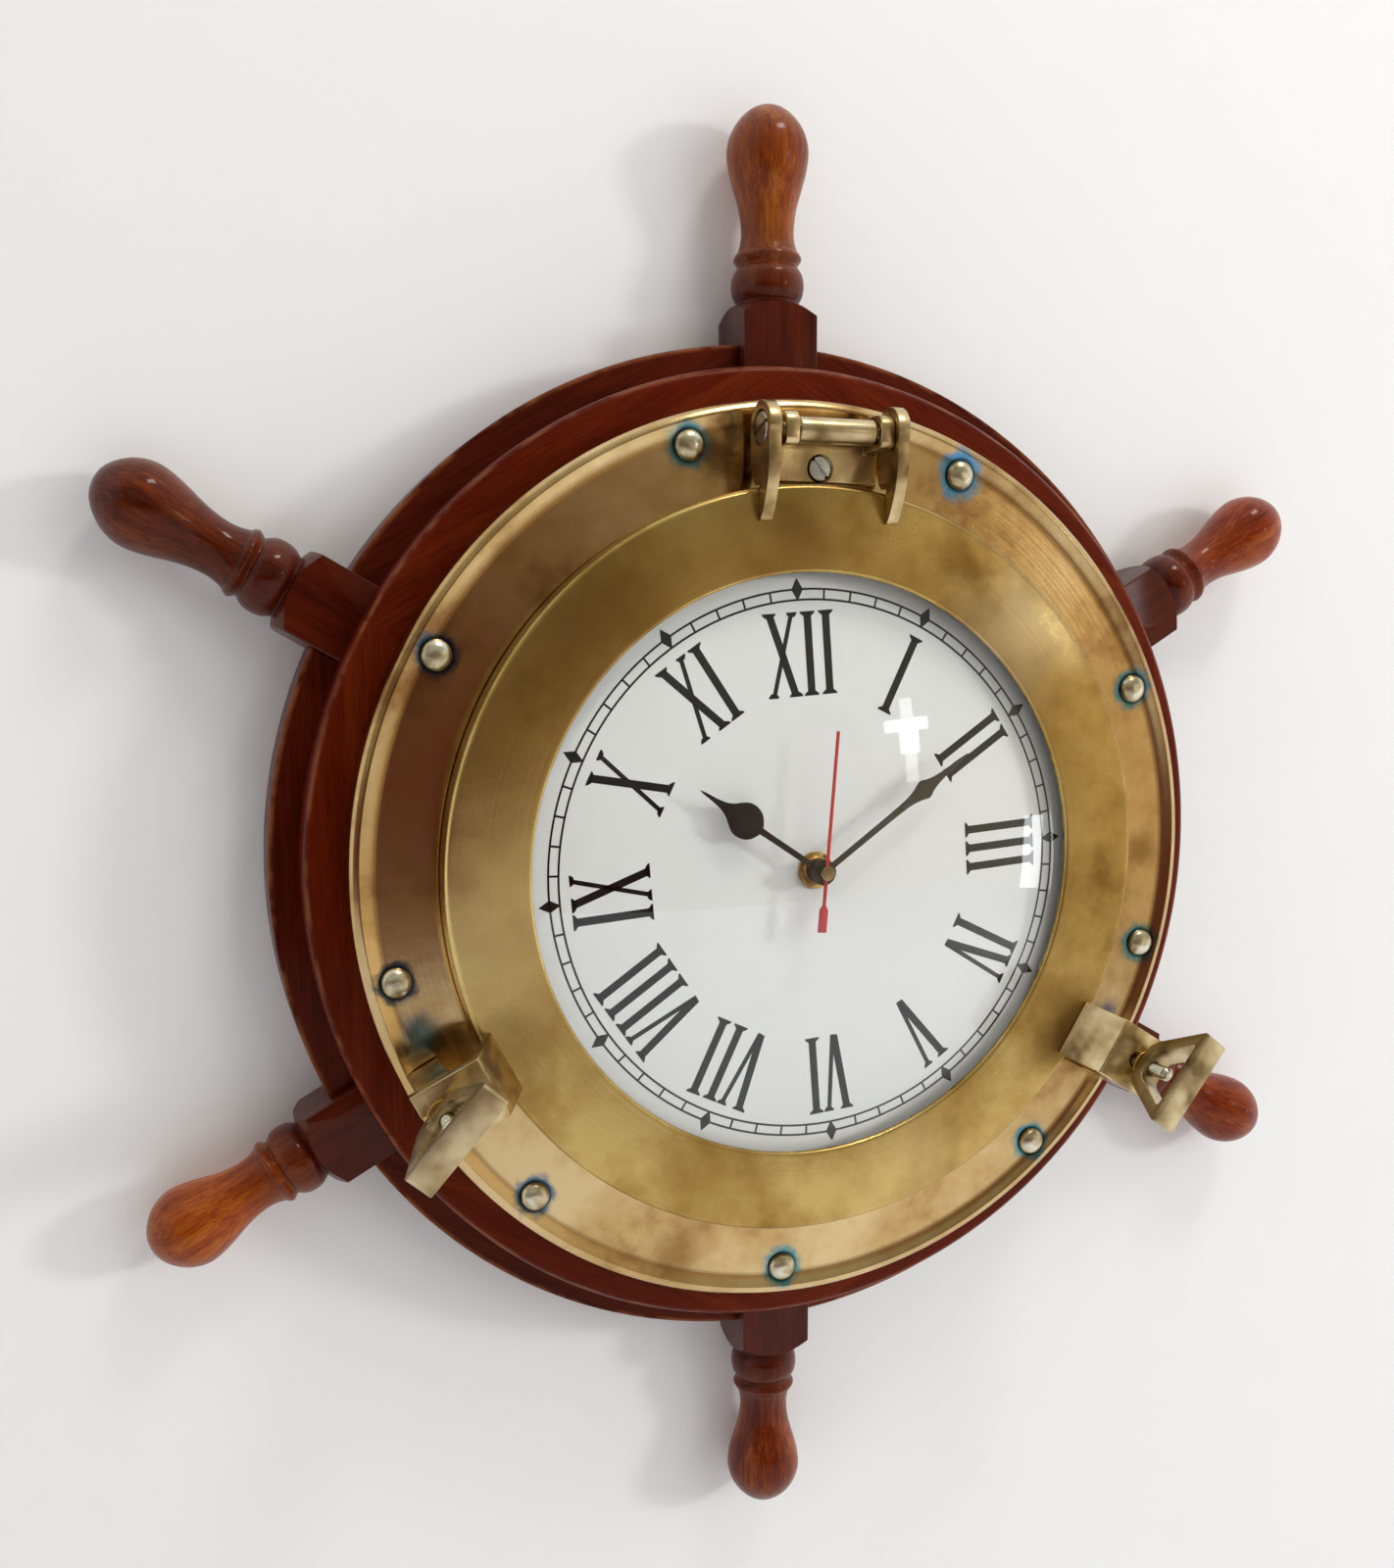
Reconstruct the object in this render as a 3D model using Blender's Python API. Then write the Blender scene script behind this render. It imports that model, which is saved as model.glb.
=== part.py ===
# Ship wheel clock: a six-spoke wooden wheel with a brass porthole clock in its middle.
# Everything is in metres. The clock hangs on a wall behind it and looks along -Y; Z is up.
# The origin is where the nail holds the hanger plate, on the wall.
# Shapes are drawn in a face frame: u to the right, v up, w towards the viewer, from the
# wheel's centre and the middle of the handles' thickness.
import math
import bmesh
import bpy
from mathutils import Matrix, Vector

for old in list(bpy.data.objects):
    bpy.data.objects.remove(old, do_unlink=True)

# Shared fits and resolution
clearance = 0.0003          # between pieces that touch in the real clock
hole_play = 0.0003          # all round a screw or rivet in its hole
cut_extra = 0.002           # how far a cutter reaches past what it cuts
ring_steps = 40             # sides of the large rings
round_steps = 16            # sides of small round pieces
shoulder_steps = 32         # sides of the turning that shapes the spoke blocks
medium_steps = 24           # sides of the cell and the movement's nut
rivet_steps = 10
hole_steps = 8
keyhole_steps = 12
weld_distance = 0.000005    # corners closer than this become one
edge_round = 0.0008         # broken edges of the wood
metal_round = 0.0004        # broken edges of the castings
arm_round = 0.0005
nail_head_room = 0.0035     # pocket behind the keyhole
overlap_share = 0.5         # how far joined bodies reach into each other, of the thinner one
smooth_angle = math.radians(35)

# Wooden wheel
# each handle as fitted by hand, clockwise from the top: its turn and how far its tip reaches
handle_turn_degs = (0.0, 59.8, 119.3, 180.3, 241.4, 299.7)
handle_tip_rs = (0.3046, 0.3048, 0.3117, 0.3055, 0.3001, 0.3036)
handle_r = 0.0167           # the turned handle where it is thickest
handle_steps = 12
block_width = 0.032
block_depth = 0.030
block_length = 0.0618
shoulder_drop = 0.0063      # the turned shoulder reaches the block's corners this far below its end
shoulder_neck = 0.0125      # radius of the turned part under the beads
# turned handle from the neck to the tip: shares of the way from block to tip, and of the radius
handle_shares = (
    (0.018, 0.755), (0.074, 0.874), (0.139, 0.874), (0.194, 0.731), (0.238, 0.832),
    (0.277, 0.695), (0.365, 0.647), (0.482, 0.713), (0.650, 0.934), (0.760, 1.000),
    (0.858, 0.922), (0.948, 0.629), (0.990, 0.299))

ring_hole_r = 0.156
rear_ring_width = 0.0555
rear_ring_front = 0.008     # w of its front face
rear_ring_back = -block_depth / 2
front_ring_width = 0.044
front_ring_front = 0.0275
front_ring_round = 0.003
block_cover = 0.010         # wood inside of the spoke blocks
rear_ring_r = ring_hole_r + rear_ring_width
front_ring_r = ring_hole_r + front_ring_width
block_inner_r = ring_hole_r + block_cover
block_end_r = block_inner_r + block_length
shoulder_r = block_end_r - shoulder_drop

hanger_width = 0.020
hanger_height = 0.042
hanger_thick = 0.0016
hanger_rise = 0.027         # middle of the plate above the block's inner end
hanger_mid_v = block_inner_r + hanger_rise
keyhole_r = 0.0048
keyslot_r = 0.0022
keyhole_drop = 0.004
keyslot_length = 0.010
hanger_screw_gap = 0.031    # between the hanger's two screws

hanger_screw = {"head_r": 0.0036, "head_deep": 0.0013, "shank_r": 0.0017, "length": 0.0120}
slot_width = 0.0010
slot_deep = 0.0009

# Brass porthole flange: a spun dish
flange_margin = 0.0150      # wood that shows outside of the flange
flange_foot_r = front_ring_r - flange_margin
flange_crest_in = 0.0038    # the crest's distance inside of the foot
flange_crest_r = flange_foot_r - flange_crest_in
flange_crest = 0.0422       # w of the crest
flange_face = 0.0406        # w of the flat face
flange_sheet = 0.0020
dial_seat = 0.0412          # w of the inner seat under the dial

rivet_in = 0.0120           # from the flange's foot to the circle of the rivets
rivet_circle_r = flange_foot_r - rivet_in
rivet_head_r = 0.0060
rivet_head_high = 0.0036
rivet_shank_r = 0.0021
rivet_depth = 0.021
rivet_group_deg = 120
rivet_side_deg = 18.5
# each hole was marked out by eye and sits a little off the even pattern
rivet_first_deg = 1.5
rivet_off_degs = ((0.3, 3.3, 4.0), (1.8, -0.9, 1.7), (0.5, -1.7, -1.3))

# Door: spun brass ring with a domed glass behind its lip
door_in = 0.0332            # from the flange's foot to the door's edge
door_r = flange_foot_r - door_in
door_gap = 0.0024           # under the edge of the closed door
door_back = flange_face + door_gap
door_front = 0.0530
door_sheet = 0.0027
door_edge_round = 0.0022
door_rim_width = 0.0335
door_lip_r = door_r - door_rim_width
lip_step = 0.0013           # between the lip and what lies behind it
glass_lap = 0.0097
glass_r = door_lip_r + glass_lap
glass_dome_r = door_lip_r - lip_step
glass_thick = 0.0023
gasket_thick = 0.0007
glass_edge_back = door_front - door_sheet - clearance * 2 - gasket_thick - glass_thick
glass_rise = 0.0145
glass_bands = 4
gasket_margin = 0.0005
gasket_inner_r = door_lip_r + lip_step
gasket_outer_r = glass_r - gasket_margin
retainer_room = 0.0050      # outside of the glass
retainer_lap = 0.0028       # under the glass
retainer_outer_r = glass_r + retainer_room
retainer_inner_r = glass_r - retainer_lap
retainer_sheet = 0.0011
retainer_back = glass_edge_back - clearance - retainer_sheet

# Dial and movement hang a little right of the porthole's middle, as photographed
dial_u = 0.0027
dial_v = -0.0004
dial_turn_deg = -4.4
seat_step = 0.0027          # the flange's hole is this much wider than the door's
seat_width = 0.0270
dial_lap = 0.0100
flange_inner_r = door_lip_r + seat_step
seat_outer_r = flange_inner_r + seat_width
dial_r = flange_inner_r + dial_lap
dial_thick = 0.0024
dial_back = dial_seat + clearance
dial_hole_r = 0.0042

# Hinge at the top
hinge_u = 0.0037
hinge_out = 0.0194          # from the door's edge to the hinge axis
hinge_v = door_r + hinge_out
hinge_high = 0.0015         # hinge axis in front of the door's face
hinge_w = door_front + hinge_high
sleeve_r = 0.0048
sleeve_length = 0.0319
sleeve_shift = 0.00175
sleeve_room = 0.0025        # spare length between the two knuckles
knuckle_thick = 0.0056
knuckle_span = sleeve_length + sleeve_room + 2 * knuckle_thick      # over their outer faces
knuckle_shift = 0.0015
arm_thick = 0.0048
arm_room = 0.0003           # between an arm and the nearer knuckle
arm_gap = knuckle_span + 2 * (knuckle_shift + arm_room) + arm_thick     # between the arms' middles
arm_length = 0.0342         # from the hinge axis down to the foot's tip
arm_corner_low = 0.0204
arm_back_low = 0.0127
arm_top_r = 0.0100
arm_foot_v = hinge_v - arm_length
arm_corner_v = hinge_v - arm_corner_low
arm_corner_step = 0.0020
arm_back_low_v = hinge_v - arm_back_low
# front of an arm above its foot: shares of the way to the pin, and of the rise from door to top
arm_front_shares = ((0.018, 0.125), (0.146, 0.429), (0.380, 0.732), (0.643, 0.929))
arm_back_shares = (0.75, 0.55)      # of the top's radius, behind the pin
pin_r = 0.0030
pin_head_r = 0.0059
pin_head_deep = 0.0022
knuckle_size = 0.0130
knuckle_past = 0.0065       # in front of the hinge axis
knuckle_front = hinge_w + knuckle_past
bracket_below = 0.0182
bracket_above = 0.0008
bracket_low_v = hinge_v - bracket_below
bracket_high_v = hinge_v + bracket_above
bracket_front = 0.0449
ear_sunk = 0.0015           # the knuckles start this far inside the bracket's plate
ear_low_chamfer = 0.0010
ear_high_chamfer = 0.0020
bracket_screw_below = 0.0128
bracket_screw_v = hinge_v - bracket_screw_below
bracket_screw = {"head_r": 0.0047, "head_deep": 0.0027, "shank_r": 0.0020, "length": 0.0160}

# Clamps: a fork on the door, a bolt through it and a loop nut, over a keeper on the flange
clamp_turn_degs = {"right": 121.3, "left": 243.0}
nut_spin_degs = {"right": -5.7, "left": 111.7}
lug_width = 0.026
lug_sheet = 0.0042
# corners of the lug's outer face: distance out from the door's edge and height over the door
lug_foot_out, lug_foot_high = -0.0058, clearance
lug_ridge_out, lug_ridge_high = 0.0047, 0.0185
lug_end_out, lug_end_high = 0.0332, 0.0170
lug_foot = (door_r + lug_foot_out, door_front + lug_foot_high)
lug_ridge = (door_r + lug_ridge_out, door_front + lug_ridge_high)
lug_end = (door_r + lug_end_out, door_front + lug_end_high)
lug_slot_width = 0.0076
lug_slot_start = 0.0110         # from the ridge along the outer face
bolt_along = 0.0205             # from the ridge to the bolt axis
bolt_r = 0.0030
bolt_high = 0.0160
bolt_tip_round = 0.0014
bolt_head_r = 0.0058
bolt_head_thick = 0.0035
washer_r = 0.0070
washer_thick = 0.0011
nut_base_half = 0.0090
nut_base_round = 0.0070
nut_base_thick = 0.0046
nut_bar_half = 0.0220
nut_bar_low = 0.0255
nut_bar_thick = 0.0045
nut_side_thick = 0.0034
nut_strip = 0.0110
nut_corner = 0.0020
nut_arc_steps = 3
keeper_out = 0.0160         # from the door's edge to the keeper
keeper_length = 0.0140
keeper_inner_r = door_r + keeper_out
keeper_outer_r = keeper_inner_r + keeper_length
keeper_low = flange_crest + clearance
keeper_floor = 0.0026
keeper_high = lug_end[1] - lug_sheet - clearance   # just clear of the lug
keeper_cheek = 0.0032
keeper_width = 0.0250

# Hands
hub_r = 0.0045
hub_steps = 10
# levels of the hands, each from the one below
hour_high = 0.0067
minute_step = 0.0022
second_step = 0.0024
hour_w = dial_back + dial_thick + hour_high
minute_w = hour_w + minute_step
second_w = minute_w + second_step
hand_sheet = 0.0005
hour_turn_deg = 303.7
minute_turn_deg = 54.2
second_turn_deg = 5.0
# outline of each hand: shares of its length and of its half width
hour_shares = ((0.476, 0.149), (0.524, 0.405), (0.571, 0.838), (0.627, 1.000),
               (0.683, 0.892), (0.730, 0.541), (0.778, 0.243), (0.841, 0.122))
hour_tip_share = 0.481      # of the dial's radius
hour_tip = dial_r * hour_tip_share
hour_half = 0.0074
minute_shares = ((0.525, 0.351), (0.625, 0.541), (0.694, 1.000), (0.788, 0.405), (0.863, 0.189))
minute_tip_share = 0.611
minute_tip = dial_r * minute_tip_share
minute_half = 0.0037
hand_stem = 0.0012
second_tip_share = 0.435
second_tip = dial_r * second_tip_share
second_stem = 0.0007
second_tail_start = 0.0130
second_tail_wide = 0.0150
second_tail_end = 0.0243
second_tail_half = 0.0019
cap_r = 0.0029
cap_high = 0.0024
arbor_in = 0.0008
cap_front = second_w + cap_high
arbor_front = cap_front - arbor_in
hour_collar_r = 0.0040
hour_collar_deep = 0.0015
minute_collar_r = 0.0028
minute_collar_deep = 0.0012

# Movement
case_low_v = -0.031
case_high_v = 0.027
case_front = dial_back - clearance
case_back = 0.0252
case_wall = 0.0014
cover_thick = 0.0012
cover_low_gap = 0.0012      # between the cover and the cell
stem_r = 0.0037
stem_bore_r = 0.0029
nut_r = 0.0077
nut_high = 0.0031
stem_past = 0.0015
nut_front = dial_back + dial_thick + nut_high
stem_front = nut_front + stem_past
nut_chamfer = 0.0006
nut_inner_r = 0.0040
battery_r = 0.00715
battery_length = 0.0470
battery_v = -0.0212
battery_nub_r = 0.0027
battery_nub = 0.0015
contact_half = 0.0055
contact_thick = 0.0005
contact_gap = 0.0003
cradle_reach = battery_length / 2 + battery_nub / 2 + contact_gap + contact_thick
case_spare = 0.00255        # between the cradle and the case wall
case_half_width = cradle_reach + case_spare + case_wall
cradle_front = case_front - case_wall - clearance
battery_w = cradle_front - contact_thick - contact_gap - battery_r
board_width = 0.018
board_height = 0.008
board_thick = 0.0012
board_u = 0.0150
board_v = 0.0185
chip_width = 0.006
chip_height = 0.004
chip_thick = 0.001
coil_r = 0.0032
coil_core_r = 0.0013
coil_length = 0.0150
coil_core_length = 0.0210
coil_u = -0.0150
coil_v = 0.0190

# Gear train: teeth, modules, and where each axis lies as seen from the one before it
pinion_teeth = 6
second_teeth = 30
step_teeth = 36
third_teeth = 45
centre_teeth = 48
cannon_teeth = 8
minute_teeth = 24
hour_teeth = 24
train_module = 0.0004
cannon_module = 0.00045
third_turn_deg = 0
step_turn_deg = 149.5
rotor_turn_deg = 154.8
motion_turn_deg = 90
tooth_root_share = 0.36
tooth_high = 1.7            # tooth above and below the pitch circle, in modules on the diameter
tooth_deep = 2.5
gear_thick = 0.0008
pinion_reach = 0.0002
gear_round_steps = 10
arbor_r = 0.0006
knob_arbor_r = 0.0010
minute_tube_r = 0.0016
minute_tube_bore = 0.0010
hour_tube_r = 0.0026
hour_tube_bore = 0.0019
tube_past = 0.0010          # how far the tubes pass their hand
rotor_r = 0.0030
knob_teeth = 14
knob_module = 0.00075
knob_front = 0.0246
knob_back = 0.0216

# Levels of the train, from the back
gear_level = 0.0018
step_low = 0.0284
second_low = step_low + gear_level
third_low = second_low + gear_level
centre_low = third_low + gear_level
cannon_low = centre_low + gear_level
hour_low = cannon_low + gear_level
magnet_front = second_low + 0.0026


def axis_beyond(start, distance, degrees):
    angle = math.radians(degrees)
    return (start[0] + distance * math.cos(angle), start[1] + distance * math.sin(angle))


# Centre distances are shared by the meshes on each pair of axes
dial_axis = (0, 0)
third_distance = train_module * (pinion_teeth + third_teeth) / 2
centre_module = third_distance * 2 / (pinion_teeth + centre_teeth)
third_axis = axis_beyond(dial_axis, third_distance, third_turn_deg)
step_axis = axis_beyond(dial_axis, train_module * (pinion_teeth + second_teeth) / 2, step_turn_deg)
rotor_axis = axis_beyond(step_axis, train_module * (pinion_teeth + step_teeth) / 2, rotor_turn_deg)
motion_distance = cannon_module * (cannon_teeth + minute_teeth) / 2
hour_module = motion_distance * 2 / (pinion_teeth + hour_teeth)
minute_axis = axis_beyond(dial_axis, motion_distance, motion_turn_deg)
setting_axis = axis_beyond(minute_axis, motion_distance, motion_turn_deg)

# The face frame in the world
hang_v = hanger_mid_v - keyhole_drop + keyslot_length
hanger_back = -block_depth / 2 - clearance - hanger_thick
face = Matrix.Translation((0, hanger_back, -hang_v)) @ Matrix.Rotation(math.radians(90), 4, "X")


# Materials
def material(name, colour, metal, rough):
    made = bpy.data.materials.new(name)
    made.use_nodes = True
    shader = made.node_tree.nodes["Principled BSDF"]
    shader.inputs["Base Color"].default_value = (*colour, 1)
    shader.inputs["Metallic"].default_value = metal
    shader.inputs["Roughness"].default_value = rough
    made.diffuse_color = (*colour, 1)
    return made


looks = {
    "wood": ((0.11, 0.025, 0.012), 0, 0.3),
    "brass": ((0.50, 0.36, 0.14), 1, 0.35),
    "steel": ((0.55, 0.55, 0.53), 1, 0.3),
    "nickel": ((0.62, 0.60, 0.52), 1, 0.25),
    "glass": ((0.85, 0.92, 0.92), 0, 0.05),
    "rubber": ((0.02, 0.02, 0.02), 0, 0.7),
    "white": ((0.82, 0.84, 0.82), 0, 0.5),
    "black": ((0.01, 0.01, 0.01), 0, 0.3),
    "red": ((0.6, 0.01, 0.02), 0, 0.4),
    "plastic": ((0.03, 0.03, 0.035), 0, 0.5),
    "nylon": ((0.80, 0.80, 0.76), 0, 0.45),
    "copper": ((0.60, 0.22, 0.08), 1, 0.3),
    "board": ((0.04, 0.18, 0.07), 0, 0.5),
    "cell": ((0.10, 0.12, 0.30), 0, 0.4),
}


# Helpers: meshes from outlines, booleans, placing
def finish(name, bm, look, location=(0, 0, 0), turn=None):
    """Close the mesh, turn it from the face frame to the world and name it."""
    bmesh.ops.remove_doubles(bm, verts=bm.verts, dist=weld_distance)
    bmesh.ops.recalc_face_normals(bm, faces=bm.faces)
    mesh = bpy.data.meshes.new(name)
    bm.to_mesh(mesh)
    bm.free()
    obj = bpy.data.objects.new(name, mesh)
    bpy.context.scene.collection.objects.link(obj)
    if look:
        mesh.materials.append(material(name + "_" + look, *looks[look]))
    place = face @ Matrix.Translation(location)
    obj.matrix_world = place @ turn if turn else place
    return obj


def clockwise(degrees):
    return Matrix.Rotation(math.radians(-degrees), 4, "Z")


def spun(bm, profile, steps):
    """Revolve a closed outline of (radius, w) points about w."""
    rings = []
    for radius, w in profile:
        if not radius:
            rings.append([bm.verts.new((0, 0, w))])
            continue
        ring = []
        for step in range(steps):
            angle = 2 * math.pi * step / steps
            ring.append(bm.verts.new((radius * math.cos(angle), radius * math.sin(angle), w)))
        rings.append(ring)
    for here, there in zip(rings, rings[1:] + rings[:1]):
        if len(here) == 1 and len(there) == 1:
            continue
        for step in range(steps):
            after = (step + 1) % steps
            corners = []
            for ring, pair in ((here, (step, after)), (there, (after, step))):
                corners += [ring[0]] if len(ring) == 1 else [ring[index] for index in pair]
            bm.faces.new(corners)


def lathe(name, profile, look, steps=round_steps, location=(0, 0, 0), turn=None):
    bm = bmesh.new()
    spun(bm, profile, steps)
    return finish(name, bm, look, location, turn)


def slab(bm, outline, low, high, along="w"):
    """Extrude a closed outline of two coordinates between two levels of the third."""
    order = {"w": lambda a, b, c: (a, b, c), "u": lambda a, b, c: (c, a, b)}[along]
    bottom = [bm.verts.new(order(a, b, low)) for a, b in outline]
    top = [bm.verts.new(order(a, b, high)) for a, b in outline]
    bm.faces.new(bottom)
    bm.faces.new(top)
    for index in range(len(outline)):
        after = (index + 1) % len(outline)
        bm.faces.new((bottom[index], bottom[after], top[after], top[index]))


def plate(name, outline, low, high, look, location=(0, 0, 0), turn=None, along="w"):
    bm = bmesh.new()
    slab(bm, outline, low, high, along)
    return finish(name, bm, look, location, turn)


def rectangle(left, right, low, high):
    return [(left, low), (right, low), (right, high), (left, high)]


def arc(middle, radius, start_deg, end_deg, steps):
    points = []
    for step in range(steps + 1):
        angle = math.radians(start_deg + (end_deg - start_deg) * step / steps)
        points.append((middle[0] + radius * math.cos(angle), middle[1] + radius * math.sin(angle)))
    return points


def rod(radius, low, high):
    return [(0, low), (radius, low), (radius, high), (0, high)]


def combine(obj, others, operation):
    """Boolean with each of the others, bake it and drop them."""
    for other in others:
        step = obj.modifiers.new("shape", "BOOLEAN")
        step.operation = operation
        step.solver = "EXACT"
        step.object = other
        bpy.context.view_layer.update()
        graph = bpy.context.evaluated_depsgraph_get()
        baked = bpy.data.meshes.new_from_object(obj.evaluated_get(graph))
        obj.modifiers.clear()
        obj.data = baked
        bpy.data.objects.remove(other, do_unlink=True)
    return obj


def cut(obj, *others):
    return combine(obj, others, "DIFFERENCE")


def join(obj, *others):
    return combine(obj, others, "UNION")


def smooth(obj, angle=smooth_angle):
    obj.data.shade_smooth()
    obj.data.set_sharp_from_angle(angle=angle)
    return obj


def soften(obj, width=edge_round, steps=1):
    """Break the sharp edges of a flat-sided piece."""
    bevel = obj.modifiers.new("edges", "BEVEL")
    bevel.width = width
    bevel.segments = steps
    bevel.limit_method = "ANGLE"
    bevel.angle_limit = math.radians(50)
    return obj


def copies(name, single, places):
    """One object per place, all with the single piece's mesh, numbered when there are several."""
    for index, place in enumerate(places):
        label = "%s_%d" % (name, index + 1) if len(places) > 1 else name
        copy = bpy.data.objects.new(label, single.data)
        bpy.context.scene.collection.objects.link(copy)
        copy.matrix_world = face @ place
    bpy.data.objects.remove(single, do_unlink=True)


def on_circle(radius, degrees, w=0.0):
    """Place on a circle about the wheel axis, clockwise from the top."""
    angle = math.radians(degrees)
    return Matrix.Translation((radius * math.sin(angle), radius * math.cos(angle), w)) @ clockwise(degrees)


# Screws: a flat head level with the face of its piece, a slot and a plain shank, pointing back
def slotted_screws(name, screw, places):
    profile = [(0, -screw["length"]), (screw["shank_r"], -screw["length"]),
               (screw["shank_r"], -screw["head_deep"]), (screw["head_r"], 0), (0, 0)]
    single = lathe("single", profile, "steel")
    half = slot_width / 2
    reach = screw["head_r"] + cut_extra
    cut(single, plate("slot", rectangle(-reach, reach, -half, half), -slot_deep, cut_extra, None))
    copies(name, single, places)


def cutter(profile, place, steps=round_steps):
    """A spun shape put at a face-frame place, to cut with."""
    bm = bmesh.new()
    spun(bm, profile, steps)
    bm.transform(place)
    return finish("cutter", bm, None)


def countersink(screw, place):
    """The seat of a screw: its head and shank with play all round."""
    shank = screw["shank_r"] + hole_play
    head = screw["head_r"] + hole_play
    end = -screw["length"] - cut_extra
    return cutter([(0, end), (shank, end), (shank, -screw["head_deep"] - hole_play), (head, 0),
                   (head, cut_extra), (0, cut_extra)], place)


def shank_hole(screw, place, low, high):
    return cutter(rod(screw["shank_r"] + hole_play, low, high), place, hole_steps)


# Wooden wheel
def spoke(index):
    degrees = handle_turn_degs[index]
    tip_r = handle_tip_rs[index]
    half = block_width / 2
    block = plate("spoke_%d" % (index + 1), rectangle(-half, half, block_inner_r, block_end_r),
                  -block_depth / 2, block_depth / 2, "wood", turn=clockwise(degrees))
    upright = Matrix.Rotation(math.radians(-90), 4, "X")
    corner = math.hypot(half, block_depth / 2)
    shoulder = [(0, block_inner_r - cut_extra), (corner + cut_extra, block_inner_r - cut_extra),
                (corner + cut_extra, shoulder_r - cut_extra), (corner, shoulder_r + edge_round),
                ((corner + half) / 2, (shoulder_r + block_end_r) / 2 + edge_round),
                (shoulder_neck, block_end_r - edge_round / 4), (0, block_end_r - edge_round / 4)]
    turned = lathe("turned", shoulder, None, shoulder_steps, turn=clockwise(degrees) @ upright)
    combine(block, [turned], "INTERSECT")
    profile = [(0, block_end_r - cut_extra), (shoulder_neck - clearance, block_end_r - cut_extra)]
    length = tip_r - block_end_r
    profile += [(handle_r * wide, block_end_r + length * along) for along, wide in handle_shares]
    profile.append((0, tip_r))
    handle = lathe("handle", profile, None, handle_steps, turn=clockwise(degrees) @ upright)
    join(block, handle)
    if index == 0:
        hanger_seat(block)
    return smooth(block, math.radians(40))


def hanger_seat(block):
    """Screw holes and room for the nail's head behind the keyhole."""
    back = -block_depth / 2
    for place in hanger_screw_places(back):
        cut(block, shank_hole(hanger_screw, place, -hanger_screw["length"], cut_extra))
    cut(block, plate("pocket", keyhole_outline(keyhole_r + clearance), back - cut_extra,
                     back + nail_head_room, None))


def spoke_cutters(low_r, high_r, back, front):
    """Room for the six spoke blocks."""
    half = block_width / 2 + clearance
    for degrees in handle_turn_degs:
        yield plate("room", rectangle(-half, half, low_r, high_r), back, front, None,
                    turn=clockwise(degrees))


def rivet_degs():
    for group, offs in enumerate(rivet_off_degs):
        start = rivet_first_deg + group * rivet_group_deg
        plain = (-rivet_side_deg, rivet_side_deg, rivet_group_deg / 2)
        for angle, off in zip(plain, offs):
            yield start + angle + off


def rear_ring():
    profile = [(ring_hole_r, rear_ring_back), (rear_ring_r - edge_round, rear_ring_back),
               (rear_ring_r, rear_ring_back + edge_round), (rear_ring_r, rear_ring_front - edge_round),
               (rear_ring_r - edge_round, rear_ring_front), (ring_hole_r, rear_ring_front)]
    ring = lathe("rear_ring", profile, "wood", ring_steps)
    cut(ring, *spoke_cutters(block_inner_r - clearance, rear_ring_r + cut_extra,
                             rear_ring_back - cut_extra, rear_ring_front + cut_extra))
    return smooth(ring)


def front_ring():
    low = rear_ring_front + clearance
    turn = front_ring_round
    profile = [(ring_hole_r, low), (front_ring_r, low)]
    profile += arc((front_ring_r - turn, front_ring_front - turn), turn, 0, 90, 3)
    profile.append((ring_hole_r, front_ring_front))
    ring = lathe("front_ring", profile, "wood", ring_steps)
    cut(ring, *spoke_cutters(block_inner_r - clearance, front_ring_r + cut_extra,
                             low - cut_extra, block_depth / 2 + clearance))
    for degrees in rivet_degs():
        cut(ring, rivet_hole(degrees))
    cut(ring, bracket_screw_hole(front_ring_front + cut_extra))
    return smooth(ring)


def rivet_hole(degrees):
    """Hole for the shank, and a flat seat for the head where the flange rises."""
    shank = rivet_shank_r + hole_play
    head = rivet_head_r + hole_play
    back = rivet_depth - clearance
    return cutter([(0, back), (shank, back), (shank, flange_face), (head, flange_face),
                   (head, flange_crest + cut_extra), (0, flange_crest + cut_extra)],
                  on_circle(rivet_circle_r, degrees), rivet_steps)


def bracket_screw_place():
    return Matrix.Translation((hinge_u, bracket_screw_v, bracket_front))


def bracket_screw_hole(front):
    return shank_hole(bracket_screw, bracket_screw_place(), -bracket_screw["length"] - cut_extra,
                      front - bracket_front)


# Hanger plate on the back of the top spoke
def facing_back(matrix, w):
    """Turn a screw's place round so that its head looks at the wall."""
    return Matrix.Translation((0, 0, w)) @ matrix @ Matrix.Rotation(math.pi, 4, "Y")


def hanger_screw_places(w):
    half = hanger_screw_gap / 2
    return [facing_back(Matrix.Translation((0, hanger_mid_v + sign * half, 0)), w) for sign in (1, -1)]


def keyhole_outline(big_r):
    """Round hole below, narrow slot above."""
    middle = hanger_mid_v - keyhole_drop
    top = middle + keyslot_length
    start = math.degrees(math.asin(keyslot_r / big_r))
    points = arc((0, middle), big_r, 90 + start, 450 - start, keyhole_steps)
    return points + arc((0, top), keyslot_r, 0, 180, keyhole_steps // 2)


def hanger_plate():
    back = hanger_back
    front = back + hanger_thick
    half = hanger_width / 2
    outline = rectangle(-half, half, hanger_mid_v - hanger_height / 2, hanger_mid_v + hanger_height / 2)
    hanger = plate("hanger_plate", outline, back, front, "steel")
    cut(hanger, plate("keyhole", keyhole_outline(keyhole_r), back - cut_extra, front + cut_extra, None))
    for place in hanger_screw_places(back):
        cut(hanger, countersink(hanger_screw, place))
    return hanger


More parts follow.
